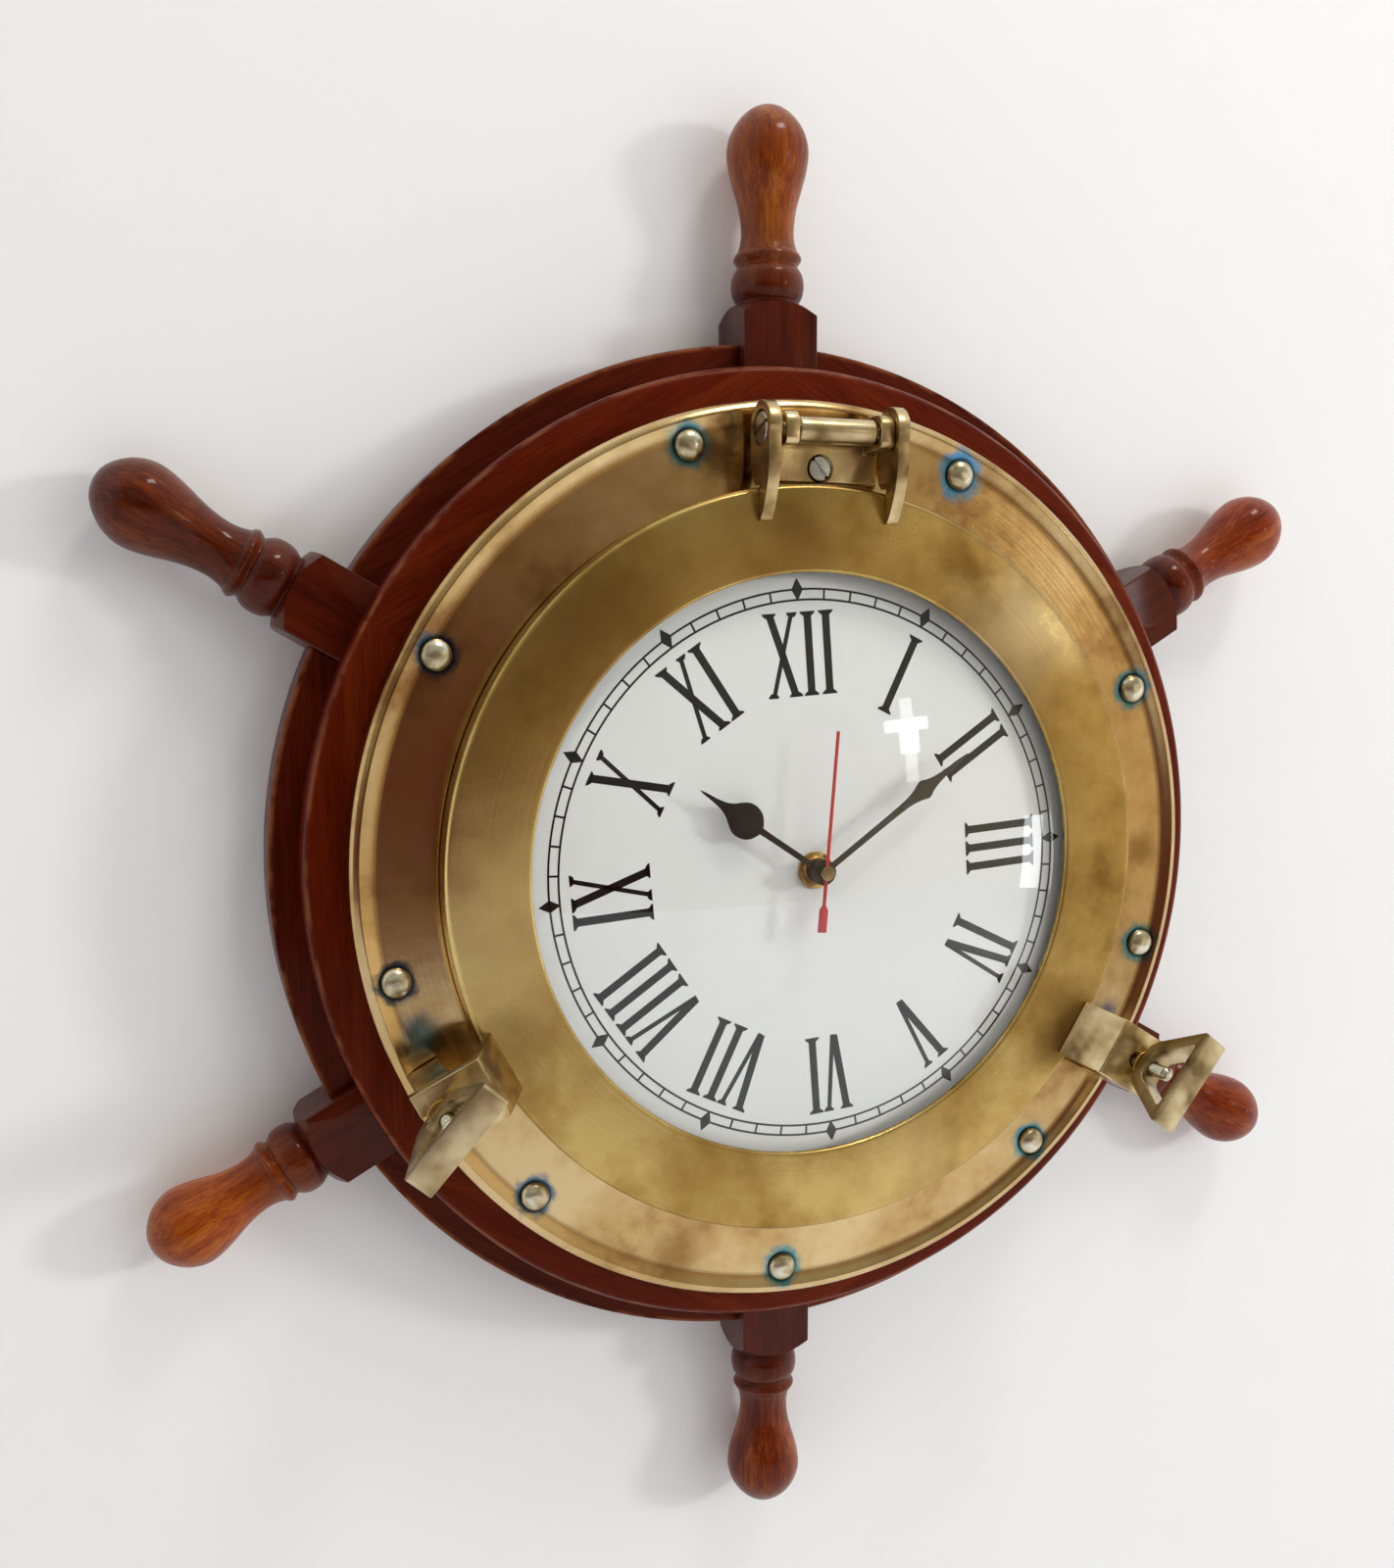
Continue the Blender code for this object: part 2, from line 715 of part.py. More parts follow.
# Porthole flange and rivets
def porthole_flange():
    sheet = flange_sheet
    foot = front_ring_front + clearance
    crest = flange_crest
    flat = flange_face
    profile = [
        (flange_foot_r, foot), (flange_foot_r - sheet * 0.8, crest - sheet * 3),
        (flange_crest_r + sheet * 0.6, crest - sheet * 0.4), (flange_crest_r - sheet * 0.8, crest),
        (flange_crest_r - sheet * 4, flat), (seat_outer_r + sheet * 0.5, flat), (seat_outer_r, dial_seat),
        (flange_inner_r, dial_seat), (flange_inner_r, dial_seat - sheet),
        (seat_outer_r + sheet, dial_seat - sheet), (seat_outer_r + sheet * 1.5, flat - sheet),
        (flange_crest_r - sheet * 3, flat - sheet), (flange_crest_r - sheet * 0.8, crest - sheet),
        (flange_foot_r - sheet * 1.8, crest - sheet * 3), (flange_foot_r - sheet, foot)]
    flange = lathe("porthole_flange", profile, "brass", ring_steps)
    for degrees in rivet_degs():
        cut(flange, rivet_hole(degrees))
    cut(flange, bracket_screw_hole(flat + cut_extra))
    return smooth(flange)


def flange_rivets():
    under = flange_face + clearance
    profile = [(0, rivet_depth), (rivet_shank_r, rivet_depth), (rivet_shank_r, under), (rivet_head_r, under)]
    for step in (1, 2):
        angle = math.radians(30 * step)
        profile.append((rivet_head_r * math.cos(angle), under + rivet_head_high * math.sin(angle)))
    profile.append((0, under + rivet_head_high))
    single = smooth(lathe("single", profile, "nickel", rivet_steps), math.radians(50))
    copies("flange_rivet", single, [on_circle(rivet_circle_r, degrees) for degrees in rivet_degs()])


# Dial, bonded to the flange's inner seat
def dial_plate():
    profile = tube(dial_hole_r, dial_r, 0, dial_thick)
    return smooth(lathe("dial_plate", profile, "white", ring_steps, (dial_u, dial_v, dial_back),
                        clockwise(dial_turn_deg)))


# Door
def door_ring():
    sheet = door_sheet
    turn = door_edge_round
    profile = [(door_r - sheet, door_back), (door_r, door_back)]
    profile += arc((door_r - turn, door_front - turn), turn, 0, 90, 3)
    profile += [(door_lip_r + sheet, door_front), (door_lip_r + sheet * 0.3, door_front - sheet * 0.25),
                (door_lip_r, door_front - sheet * 0.7), (door_lip_r, door_front - sheet),
                (door_r - sheet * 1.6, door_front - sheet), (door_r - sheet, door_front - sheet * 1.6)]
    return smooth(on_hinge(lathe("door_ring", profile, "brass", ring_steps)))


def on_hinge(obj):
    """Keep the shape where it is and put the origin on the hinge axis."""
    target = face @ Matrix.Translation((hinge_u, hinge_v, hinge_w))
    obj.data.transform(target.inverted() @ obj.matrix_world)
    obj.matrix_world = target
    return obj


def glass():
    """A dome with a flat rim under the gasket."""
    profile = [(glass_r, glass_edge_back)]
    shares = [band / glass_bands for band in range(glass_bands + 1)]
    for level, order in ((glass_edge_back, reversed(shares)), (glass_edge_back + glass_thick, shares)):
        profile += [(glass_dome_r * share, level + glass_rise * (1 - share ** 2)) for share in order]
    profile.append((glass_r, glass_edge_back + glass_thick))
    return smooth(on_hinge(lathe("glass", profile, "glass", ring_steps)))


def glass_gasket():
    low = glass_edge_back + glass_thick + clearance
    high = door_front - door_sheet - clearance
    profile = tube(gasket_inner_r, gasket_outer_r, low, high)
    return smooth(on_hinge(lathe("glass_gasket", profile, "rubber", ring_steps)))


def glass_retainer():
    sheet = retainer_sheet
    high = door_front - door_sheet - clearance
    profile = [(retainer_inner_r, retainer_back), (retainer_outer_r, retainer_back), (retainer_outer_r, high),
               (retainer_outer_r - sheet, high), (retainer_outer_r - sheet, retainer_back + sheet),
               (retainer_inner_r, retainer_back + sheet)]
    return smooth(on_hinge(lathe("glass_retainer", profile, "brass", ring_steps)))


# Hinge
def arm_outline():
    """Side view of an arm: v and w, from the foot tip up the front, round the pin and down the back."""
    base = door_front + clearance
    run = hinge_v - arm_foot_v
    rise = hinge_w + arm_top_r - base
    points = [(arm_foot_v, base)]
    points += [(arm_foot_v + run * along, base + rise * up) for along, up in arm_front_shares]
    points += arc((hinge_v, hinge_w), arm_top_r, 90, -90, 8)
    low, high = arm_back_shares
    points += [(arm_back_low_v, hinge_w - arm_top_r),
               (arm_corner_v + arm_corner_step, hinge_w - arm_top_r * low),
               (arm_corner_v, hinge_w - arm_top_r * high), (arm_corner_v, base)]
    return points


def along_u(profile, start, steps=round_steps):
    """A shape spun about u, through the hinge axis."""
    bm = bmesh.new()
    spun(bm, profile, steps)
    bm.transform(Matrix.Translation((start, hinge_v, hinge_w)) @ Matrix.Rotation(math.radians(90), 4, "Y"))
    return finish("round", bm, None)


def hinge_arm(side):
    middle = hinge_u + (arm_gap / 2 if side == "right" else -arm_gap / 2)
    half = arm_thick / 2
    arm = plate("hinge_arm_" + side, arm_outline(), middle - half, middle + half, "brass", along="u")
    soften(arm, arm_round, 2)
    long = arm_thick + cut_extra * 2
    cut(arm, along_u(rod(pin_r + hole_play, 0, long), middle - half - cut_extra))
    if side == "left":
        cut(arm, along_u(rod(pin_head_r + hole_play, 0, pin_head_deep + clearance + cut_extra),
                         middle - half - cut_extra))
    return smooth(on_hinge(arm))


def hinge_pin():
    start = hinge_u - arm_gap / 2 - arm_thick / 2
    length = arm_gap + arm_thick - clearance
    pin = along_u([(0, 0), (pin_head_r, 0), (pin_head_r, pin_head_deep), (pin_r, pin_head_deep),
                   (pin_r, length), (0, length)], start)
    pin.name = "hinge_pin"
    pin.data.name = "hinge_pin"
    pin.data.materials.append(material("hinge_pin_brass", *looks["brass"]))
    bm = bmesh.new()
    half = slot_width / 2
    slab(bm, rectangle(hinge_v - pin_head_r * 2, hinge_v + pin_head_r * 2, hinge_w - half, hinge_w + half),
         start - cut_extra, start + slot_deep, "u")
    cut(pin, finish("slot", bm, None))
    return smooth(on_hinge(pin))


def hinge_sleeve():
    start = hinge_u + sleeve_shift - sleeve_length / 2
    inner = pin_r + clearance
    sleeve = along_u([(inner, 0), (sleeve_r, 0), (sleeve_r, sleeve_length), (inner, sleeve_length)], start)
    sleeve.name = "hinge_sleeve"
    sleeve.data.name = "hinge_sleeve"
    sleeve.data.materials.append(material("hinge_sleeve_brass", *looks["brass"]))
    return smooth(on_hinge(sleeve))


def hinge_bracket():
    middle = hinge_u + knuckle_shift
    half = knuckle_span / 2
    bracket = plate("hinge_bracket", rectangle(middle - half, middle + half, bracket_low_v, bracket_high_v),
                    flange_face + clearance, bracket_front, "brass")
    low, high = hinge_v - knuckle_size / 2, hinge_v + knuckle_size / 2
    start = bracket_front - ear_sunk
    outline = [(low, knuckle_front - ear_low_chamfer), (low + ear_low_chamfer, knuckle_front),
               (high - ear_high_chamfer, knuckle_front), (high, knuckle_front - ear_high_chamfer),
               (high, start), (low, start)]
    for left in (middle - half, middle + half - knuckle_thick):
        join(bracket, plate("ear", outline, left, left + knuckle_thick, None, along="u"))
    soften(bracket, metal_round)
    cut(bracket, along_u(rod(pin_r + clearance, 0, knuckle_span + cut_extra * 2), middle - half - cut_extra))
    return cut(bracket, countersink(bracket_screw, bracket_screw_place()))


# Clamps, drawn in a frame turned so that v points outwards at the clamp
def lug_slope():
    run = lug_end[0] - lug_ridge[0]
    fall = lug_ridge[1] - lug_end[1]
    return math.atan2(fall, run)


def lug_outline():
    """Section of the folded lug: outer line from foot over the ridge to the end, then back inside."""
    foot, ridge, end = Vector(lug_foot), Vector(lug_ridge), Vector(lug_end)
    rise = (ridge - foot).normalized()
    fall = (end - ridge).normalized()
    under_rise = Vector((rise.y, -rise.x))
    under_fall = Vector((fall.y, -fall.x))
    ridge_in = ridge + (under_rise + under_fall) * (lug_sheet / (1 + under_rise.dot(under_fall)))
    foot_in = foot + Vector((lug_sheet / under_rise.x, 0))
    end_in = end + under_fall * lug_sheet
    return [foot, ridge, end, end_in, ridge_in, foot_in]


def bolt_frame(side):
    """Where the bolt leaves the lug's outer face, with w along the bolt."""
    slope = lug_slope()
    place = (0, lug_ridge[0] + bolt_along * math.cos(slope), lug_ridge[1] - bolt_along * math.sin(slope))
    return clockwise(clamp_turn_degs[side]) @ Matrix.Translation(place) @ Matrix.Rotation(-slope, 4, "X")


def clamp_lug(side):
    half = lug_width / 2
    lug = plate("clamp_lug_" + side, lug_outline(), -half, half, "brass",
                turn=clockwise(clamp_turn_degs[side]), along="u")
    soften(lug, metal_round)
    bm = bmesh.new()
    wide = lug_slot_width / 2
    long = math.hypot(lug_end[0] - lug_ridge[0], lug_end[1] - lug_ridge[1]) - bolt_along
    slab(bm, rectangle(-wide, wide, lug_slot_start - bolt_along, long + cut_extra),
         -lug_sheet - cut_extra, cut_extra)
    bm.transform(bolt_frame(side))
    cut(lug, finish("slot", bm, None))
    return on_hinge(lug)


def rebased(obj, frame):
    """Keep the shape where it is and give it the origin and axes of a face-frame matrix."""
    target = face @ frame
    obj.data.transform(target.inverted() @ obj.matrix_world)
    obj.matrix_world = target
    return obj


def in_bolt_frame(name, bm, look, side):
    bm.transform(bolt_frame(side))
    return rebased(finish(name, bm, look), bolt_frame(side))


def dog_stud(side):
    bm = bmesh.new()
    under = -lug_sheet - clearance
    spun(bm, [(0, under - bolt_head_thick), (bolt_head_r, under - bolt_head_thick), (bolt_head_r, under),
              (bolt_r, under), (bolt_r, bolt_high - bolt_tip_round), (bolt_r - bolt_tip_round, bolt_high),
              (0, bolt_high)], round_steps)
    return smooth(in_bolt_frame("dog_stud_" + side, bm, "nickel", side))


def dog_washer(side):
    bm = bmesh.new()
    inner = bolt_r + clearance
    low = clearance
    spun(bm, [(inner, low), (washer_r, low), (washer_r, low + washer_thick), (inner, low + washer_thick)],
         round_steps)
    return smooth(in_bolt_frame("dog_washer_" + side, bm, "brass", side))


def loop_outline(half_low, low, half_high, high, base_round, corner):
    """A rounded base, straight sides that flare out, and a bar across the top."""
    flare = math.degrees(math.atan2(half_high - half_low, high - low))
    middle = half_low - base_round
    points = arc((-middle, low + base_round), base_round, 180 + flare, 270, nut_arc_steps)
    points += arc((middle, low + base_round), base_round, 270, 360 - flare, nut_arc_steps)
    points += [(half_high, high - corner * 1.5), (half_high - corner * 0.4, high - corner * 0.4),
               (half_high - corner * 1.5, high)]
    points += [(-u, v) for u, v in reversed(points[-3:])]
    return points


def dog_nut(side):
    low = clearance * 2 + washer_thick
    high = nut_bar_low + nut_bar_thick
    outer = loop_outline(nut_base_half, low, nut_bar_half, high, nut_base_round, nut_corner)
    inner = loop_outline(nut_base_half - nut_side_thick, low + nut_base_thick,
                         nut_bar_half - nut_side_thick * 2, nut_bar_low, nut_base_round - nut_side_thick,
                         nut_corner / 4)
    spin = Matrix.Rotation(math.radians(nut_spin_degs[side]), 4, "Z")
    stand = Matrix.Rotation(math.radians(90), 4, "X")
    half = nut_strip / 2

    def shape(outline, reach, name, look):
        bm = bmesh.new()
        slab(bm, outline, -reach, reach)
        bm.transform(bolt_frame(side) @ spin @ stand)
        return finish(name, bm, look)
    nut = soften(shape(outer, half, "dog_nut_" + side, "brass"), metal_round)
    cut(nut, shape(inner, half + cut_extra, "inside", None))
    bm = bmesh.new()
    spun(bm, rod(bolt_r + clearance, low - cut_extra, low + nut_base_thick + cut_extra), round_steps)
    bm.transform(bolt_frame(side))
    cut(nut, finish("thread", bm, None))
    return rebased(nut, bolt_frame(side))


def clamp_keeper(side):
    half = keeper_width / 2
    turn = clockwise(clamp_turn_degs[side])
    keeper = plate("clamp_keeper_" + side, rectangle(-half, half, keeper_inner_r, keeper_outer_r),
                   keeper_low, keeper_high, "brass", turn=turn)
    soften(keeper, metal_round)
    wide = half - keeper_cheek
    cut(keeper, plate("room", rectangle(-wide, wide, keeper_inner_r - cut_extra, keeper_outer_r + cut_extra),
                      keeper_low + keeper_floor, keeper_high + cut_extra, None, turn=turn))
    return keeper


# Hands
def hand(name, shares, tip, half, turn_deg, w):
    """A round hub, a stem and the widening given by shares of the length and the half width."""
    start = math.degrees(math.asin(hand_stem / hub_r))
    points = arc((0, 0), hub_r, 90 + start, 450 - start, hub_steps)
    right = [(half * wide, tip * along) for along, wide in shares]
    points += right + [(0, tip)] + [(-u, v) for u, v in reversed(right)]
    return plate(name, points, 0, hand_sheet, "black", (dial_u, dial_v, w), clockwise(turn_deg))


def on_dial(name, profile, steps=hole_steps + 2):
    return lathe(name, profile, None, steps, (dial_u, dial_v, 0))


def tube(inner, outer, low, high):
    return [(inner, low), (outer, low), (outer, high), (inner, high)]


def hour_hand():
    obj = hand("hour_hand", hour_shares, hour_tip, hour_half, hour_turn_deg, hour_w)
    cut(obj, on_dial("bore", rod(hour_tube_r + clearance, hour_w - cut_extra, hour_w + cut_extra)))
    return join(obj, on_dial("collar", tube(hour_tube_r + clearance, hour_collar_r, hour_w - hour_collar_deep,
                                            hour_w + hand_sheet * overlap_share)))


def minute_hand():
    obj = hand("minute_hand", minute_shares, minute_tip, minute_half, minute_turn_deg, minute_w)
    cut(obj, on_dial("bore", rod(minute_tube_r + clearance, minute_w - cut_extra, minute_w + cut_extra)))
    top = minute_w + hand_sheet * overlap_share
    return join(obj, on_dial("collar", tube(minute_tube_r + clearance, minute_collar_r,
                                            minute_w - minute_collar_deep, top)))


def second_hand():
    half = second_tail_half
    stem = second_stem
    tail = [(-stem, 0), (-stem, -second_tail_start), (-half, -second_tail_wide), (-half, -second_tail_end),
            (half, -second_tail_end), (half, -second_tail_wide), (stem, -second_tail_start), (stem, 0)]
    points = list(reversed(tail[1:-1])) + [(-stem, second_tip), (stem, second_tip)]
    obj = plate("second_hand", points, 0, hand_sheet, "red", (dial_u, dial_v, second_w),
                clockwise(second_turn_deg))
    edge = hand_sheet * overlap_share
    join(obj, on_dial("cap", [(0, second_w + edge), (cap_r, second_w + edge), (cap_r, cap_front - edge),
                              (cap_r - edge, cap_front), (0, cap_front)]))
    return cut(obj, on_dial("bore", rod(arbor_r + clearance, second_w - cut_extra, arbor_front + clearance)))


# Gears: pointed teeth on a disc, each wheel turned so that its teeth fall between its neighbour's
def gear_outline(teeth, module):
    outer = module * (teeth + tooth_high) / 2
    root = module * (teeth - tooth_deep) / 2
    points = []
    pitch = 2 * math.pi / teeth
    for tooth in range(teeth):
        for radius, share in ((root, -tooth_root_share), (outer, 0), (root, tooth_root_share)):
            angle = (tooth + share) * pitch
            points.append((radius * math.cos(angle), radius * math.sin(angle)))
    return points


def meshed(axis, teeth, turn, other_axis, other_teeth):
    """The turn of the other wheel that sets its gaps on this wheel's teeth."""
    line = math.degrees(math.atan2(other_axis[1] - axis[1], other_axis[0] - axis[0]))
    pitch = 360 / teeth
    phase = (line - turn) / pitch % 1
    return line + 180 - 360 / other_teeth * (1 / 2 - phase)


def gear(name, axis, turn, wheels, round_part, look):
    """Wheels given as (teeth, module, low, high), joined with one spun arbor or tube."""
    place = (dial_u + axis[0], dial_v + axis[1], 0)
    turned = Matrix.Rotation(math.radians(turn), 4, "Z")
    body = lathe(name, round_part, look, gear_round_steps, place, turned)
    for teeth, module, low, high in wheels:
        join(body, plate("wheel", gear_outline(teeth, module), low, high, None, place, turned))
    return body


def wheel_at(teeth, module, low):
    return (teeth, module, low, low + gear_thick)


def pinion_at(teeth, module, low):
    """A pinion reaches a little past the wheel that it drives, on both sides."""
    return (teeth, module, low - pinion_reach, low + gear_thick + pinion_reach)


def gear_train():
    arbor_end = gear_level
    turn = meshed(rotor_axis, pinion_teeth, 0, step_axis, step_teeth)
    rotor = gear("rotor", rotor_axis, 0, [pinion_at(pinion_teeth, train_module, step_low)],
                 rod(arbor_r, step_low - gear_thick, magnet_front + arbor_end), "steel")
    place = (dial_u + rotor_axis[0], dial_v + rotor_axis[1], 0)
    join(rotor, lathe("magnet", rod(rotor_r, second_low, magnet_front), None, gear_round_steps, place))
    gear("step_wheel", step_axis, turn, [wheel_at(step_teeth, train_module, step_low),
                                         pinion_at(pinion_teeth, train_module, second_low)],
         rod(arbor_r, step_low - gear_thick, second_low + arbor_end), "nylon")
    turn = meshed(step_axis, pinion_teeth, turn, dial_axis, second_teeth)
    gear("second_wheel", dial_axis, turn, [wheel_at(second_teeth, train_module, second_low),
                                       pinion_at(pinion_teeth, train_module, third_low)],
         rod(arbor_r, second_low - gear_thick, arbor_front), "nylon")
    turn = meshed(dial_axis, pinion_teeth, turn, third_axis, third_teeth)
    gear("third_wheel", third_axis, turn, [wheel_at(third_teeth, train_module, third_low),
                                           pinion_at(pinion_teeth, centre_module, centre_low)],
         rod(arbor_r, third_low - gear_thick, centre_low + arbor_end), "nylon")
    turn = meshed(third_axis, pinion_teeth, turn, dial_axis, centre_teeth)
    tall = pinion_reach * 2
    centre = gear("centre_wheel", dial_axis, turn, [wheel_at(centre_teeth, centre_module, centre_low),
                                                pinion_at(cannon_teeth, cannon_module, cannon_low)],
                  rod(minute_tube_r, centre_low, minute_w + tube_past), "nylon")
    cut(centre, on_dial("bore", rod(minute_tube_bore, centre_low - cut_extra, minute_w + cut_extra * 2)))
    turn = meshed(dial_axis, cannon_teeth, turn, minute_axis, minute_teeth)
    gear("minute_wheel", minute_axis, turn, [wheel_at(minute_teeth, cannon_module, cannon_low),
                                             pinion_at(pinion_teeth, hour_module, hour_low)],
         rod(arbor_r, cannon_low - tall, hour_low + gear_thick + tall), "nylon")
    knob_turn = meshed(minute_axis, minute_teeth, turn, setting_axis, cannon_teeth)
    turn = meshed(minute_axis, pinion_teeth, turn, dial_axis, hour_teeth)
    hour = gear("hour_wheel", dial_axis, turn, [wheel_at(hour_teeth, hour_module, hour_low)],
                rod(hour_tube_r, hour_low, hour_w + tube_past), "nylon")
    cut(hour, on_dial("bore", rod(hour_tube_bore, hour_low - cut_extra, hour_w + cut_extra * 2)))
    knob = gear("set_knob", setting_axis, knob_turn, [pinion_at(cannon_teeth, cannon_module, cannon_low)],
                rod(knob_arbor_r, knob_back, cannon_low + gear_thick), "plastic")
    place = (dial_u + setting_axis[0], dial_v + setting_axis[1], 0)
    join(knob, plate("grip", gear_outline(knob_teeth, knob_module), knob_back, knob_front, None, place))


# Movement case and what is fixed in it
def movement_case():
    half = case_half_width
    place = (dial_u, dial_v, 0)
    case = plate("movement_case", rectangle(-half, half, case_low_v, case_high_v),
                 case_back + cover_thick + clearance, case_front, "plastic", place)
    wall = case_wall
    cut(case, plate("inside", rectangle(-half + wall, half - wall, case_low_v + wall, case_high_v - wall),
                    case_back - cut_extra, case_front - wall, None, place))
    join(case, on_dial("stem", rod(stem_r, case_front - wall * overlap_share, stem_front)))
    bore = rod(stem_bore_r, case_front - wall - cut_extra, stem_front + cut_extra)
    return cut(case, on_dial("bore", bore))


def movement_cover():
    half = case_half_width
    place = (dial_u, dial_v, 0)
    low = battery_v + battery_r + cover_low_gap
    cover = plate("movement_cover", rectangle(-half, half, low, case_high_v), case_back,
                  case_back + cover_thick, "plastic", place)
    bm = bmesh.new()
    spun(bm, rod(knob_arbor_r + clearance, case_back - cut_extra, case_back + cover_thick + cut_extra),
         round_steps)
    return cut(cover, finish("bore", bm, None, (dial_u + setting_axis[0], dial_v + setting_axis[1], 0)))


def movement_nut():
    low = dial_back + dial_thick + clearance
    profile = [(nut_inner_r, low), (nut_r, low), (nut_r, nut_front - nut_chamfer),
               (nut_r - nut_chamfer, nut_front), (nut_inner_r, nut_front)]
    return smooth(lathe("movement_nut", profile, "brass", medium_steps, (dial_u, dial_v, 0)))


def battery():
    half = battery_length / 2
    bm = bmesh.new()
    spun(bm, [(0, -half), (battery_r, -half), (battery_r, half), (battery_nub_r, half),
              (battery_nub_r, half + battery_nub), (0, half + battery_nub)], medium_steps)
    place = Matrix.Translation((dial_u - battery_nub / 2, dial_v + battery_v, battery_w))
    bm.transform(place @ Matrix.Rotation(math.radians(90), 4, "Y"))
    return smooth(finish("battery", bm, "cell"))


def battery_cradle():
    """A strip in front of the battery with a contact plate at each end."""
    reach = cradle_reach - contact_thick
    low = battery_v - contact_half
    high = battery_v + contact_half
    back = battery_w - contact_half
    place = (dial_u, dial_v, 0)
    cradle = plate("battery_cradle", rectangle(-reach - contact_thick, reach + contact_thick, low, high),
                   back, cradle_front, "steel", place)
    return cut(cradle, plate("room", rectangle(-reach, reach, low - cut_extra, high + cut_extra),
                             back - cut_extra, cradle_front - contact_thick, None, place))


def circuit_board():
    place = (dial_u + board_u, dial_v + board_v, case_back + cover_thick + clearance)
    half = board_width / 2
    tall = board_height / 2
    board = plate("circuit_board", rectangle(-half, half, -tall, tall), 0, board_thick, "board", place)
    chip = rectangle(-chip_width / 2, chip_width / 2, -chip_height / 2, chip_height / 2)
    return join(board, plate("chip", chip, board_thick * overlap_share, board_thick + chip_thick, None,
                             place))


def coil():
    bm = bmesh.new()
    half = coil_length / 2
    core = coil_core_length / 2
    spun(bm, [(0, -core), (coil_core_r, -core), (coil_core_r, -half), (coil_r, -half), (coil_r, half),
              (coil_core_r, half), (coil_core_r, core), (0, core)], round_steps)
    coil_w = case_back + cover_thick + clearance + coil_r
    place = Matrix.Translation((dial_u + coil_u, dial_v + coil_v, coil_w))
    bm.transform(place @ Matrix.Rotation(math.radians(90), 4, "Y"))
    return smooth(finish("coil", bm, "copper"))


# Build
def build():
    for index in range(len(handle_turn_degs)):
        spoke(index)
    rear_ring()
    front_ring()
    hanger_plate()
    slotted_screws("hanger_screw", hanger_screw, hanger_screw_places(hanger_back))
    porthole_flange()
    flange_rivets()
    dial_plate()
    door_ring()
    glass()
    glass_gasket()
    glass_retainer()
    for side in ("left", "right"):
        hinge_arm(side)
        clamp_lug(side)
        clamp_keeper(side)
        dog_stud(side)
        dog_washer(side)
        dog_nut(side)
    hinge_pin()
    hinge_sleeve()
    hinge_bracket()
    slotted_screws("hinge_bracket_screw", bracket_screw, [bracket_screw_place()])
    hour_hand()
    minute_hand()
    second_hand()
    gear_train()
    movement_case()
    movement_cover()
    movement_nut()
    battery()
    battery_cradle()
    circuit_board()
    coil()


build()
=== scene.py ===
import math
import bmesh
import bpy
from mathutils import Matrix, Vector


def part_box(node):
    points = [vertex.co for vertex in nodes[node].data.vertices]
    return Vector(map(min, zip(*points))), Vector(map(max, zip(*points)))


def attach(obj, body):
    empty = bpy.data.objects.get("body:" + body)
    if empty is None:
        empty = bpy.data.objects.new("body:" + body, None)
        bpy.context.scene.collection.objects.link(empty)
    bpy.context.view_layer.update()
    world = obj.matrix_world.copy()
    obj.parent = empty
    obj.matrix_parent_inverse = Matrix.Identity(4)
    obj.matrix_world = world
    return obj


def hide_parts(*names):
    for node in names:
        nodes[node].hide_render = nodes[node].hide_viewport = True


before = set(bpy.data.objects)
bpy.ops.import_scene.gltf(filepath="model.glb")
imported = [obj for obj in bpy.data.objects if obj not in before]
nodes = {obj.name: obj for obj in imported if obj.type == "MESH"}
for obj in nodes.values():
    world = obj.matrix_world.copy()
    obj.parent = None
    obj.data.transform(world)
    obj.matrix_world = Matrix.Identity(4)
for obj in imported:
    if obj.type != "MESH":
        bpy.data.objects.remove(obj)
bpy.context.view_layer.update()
print("frame loaded, nodes:", len(nodes))

# The face frame: u to the right, v up the wall, w out towards the viewer, from the wheel's centre.
# Sizes below are in millimetres and become metres when a mesh is made.
mm = 0.001
# what is left between pieces that fit into each other
play = 0.3
ringLow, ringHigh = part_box("rear_ring")
spokeLow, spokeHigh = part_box("spoke_2")
wheelCentre = Vector(((ringLow.x + ringHigh.x) / 2, (spokeLow.y + spokeHigh.y) / 2,
                      (ringLow.z + ringHigh.z) / 2))
face = Matrix.Translation(wheelCentre) @ Matrix.Rotation(math.radians(90), 4, "X")


def toLinear(text):
    # '#rrggbb' to a linear colour
    values = [int(text[place:place + 2], 16) / 255 for place in (1, 3, 5)]
    return (*[v / 12.92 if v <= 0.04045 else ((v + 0.055) / 1.055) ** 2.4 for v in values], 1)


# Camera, as the photograph was taken: close, from the left and a little above
view = {"place": (-0.25027, -0.60906, -0.12003), "azimuth": 20.138, "down": 10.167, "roll": -0.415,
        "lens": 33.75, "shiftX": 0.0005, "shiftY": 0.0986}


def addCamera():
    azimuth, down, roll = (math.radians(view[key]) for key in ("azimuth", "down", "roll"))
    ahead = Vector((math.sin(azimuth) * math.cos(down), math.cos(azimuth) * math.cos(down), -math.sin(down)))
    right = Vector((math.cos(azimuth), -math.sin(azimuth), 0))
    up = right.cross(ahead)
    right, up = (right * math.cos(roll) + up * math.sin(roll), up * math.cos(roll) - right * math.sin(roll))
    data = bpy.data.cameras.new("photoCamera")
    data.sensor_fit = "VERTICAL"
    data.sensor_height = 36
    data.lens = view["lens"]
    data.shift_x = view["shiftX"]
    data.shift_y = view["shiftY"]
    data.clip_start = 0.02
    camera = bpy.data.objects.new("photoCamera", data)
    bpy.context.scene.collection.objects.link(camera)
    turn = Matrix((right, up, -ahead)).transposed().to_4x4()
    camera.matrix_world = Matrix.Translation(view["place"]) @ turn
    bpy.context.scene.camera = camera


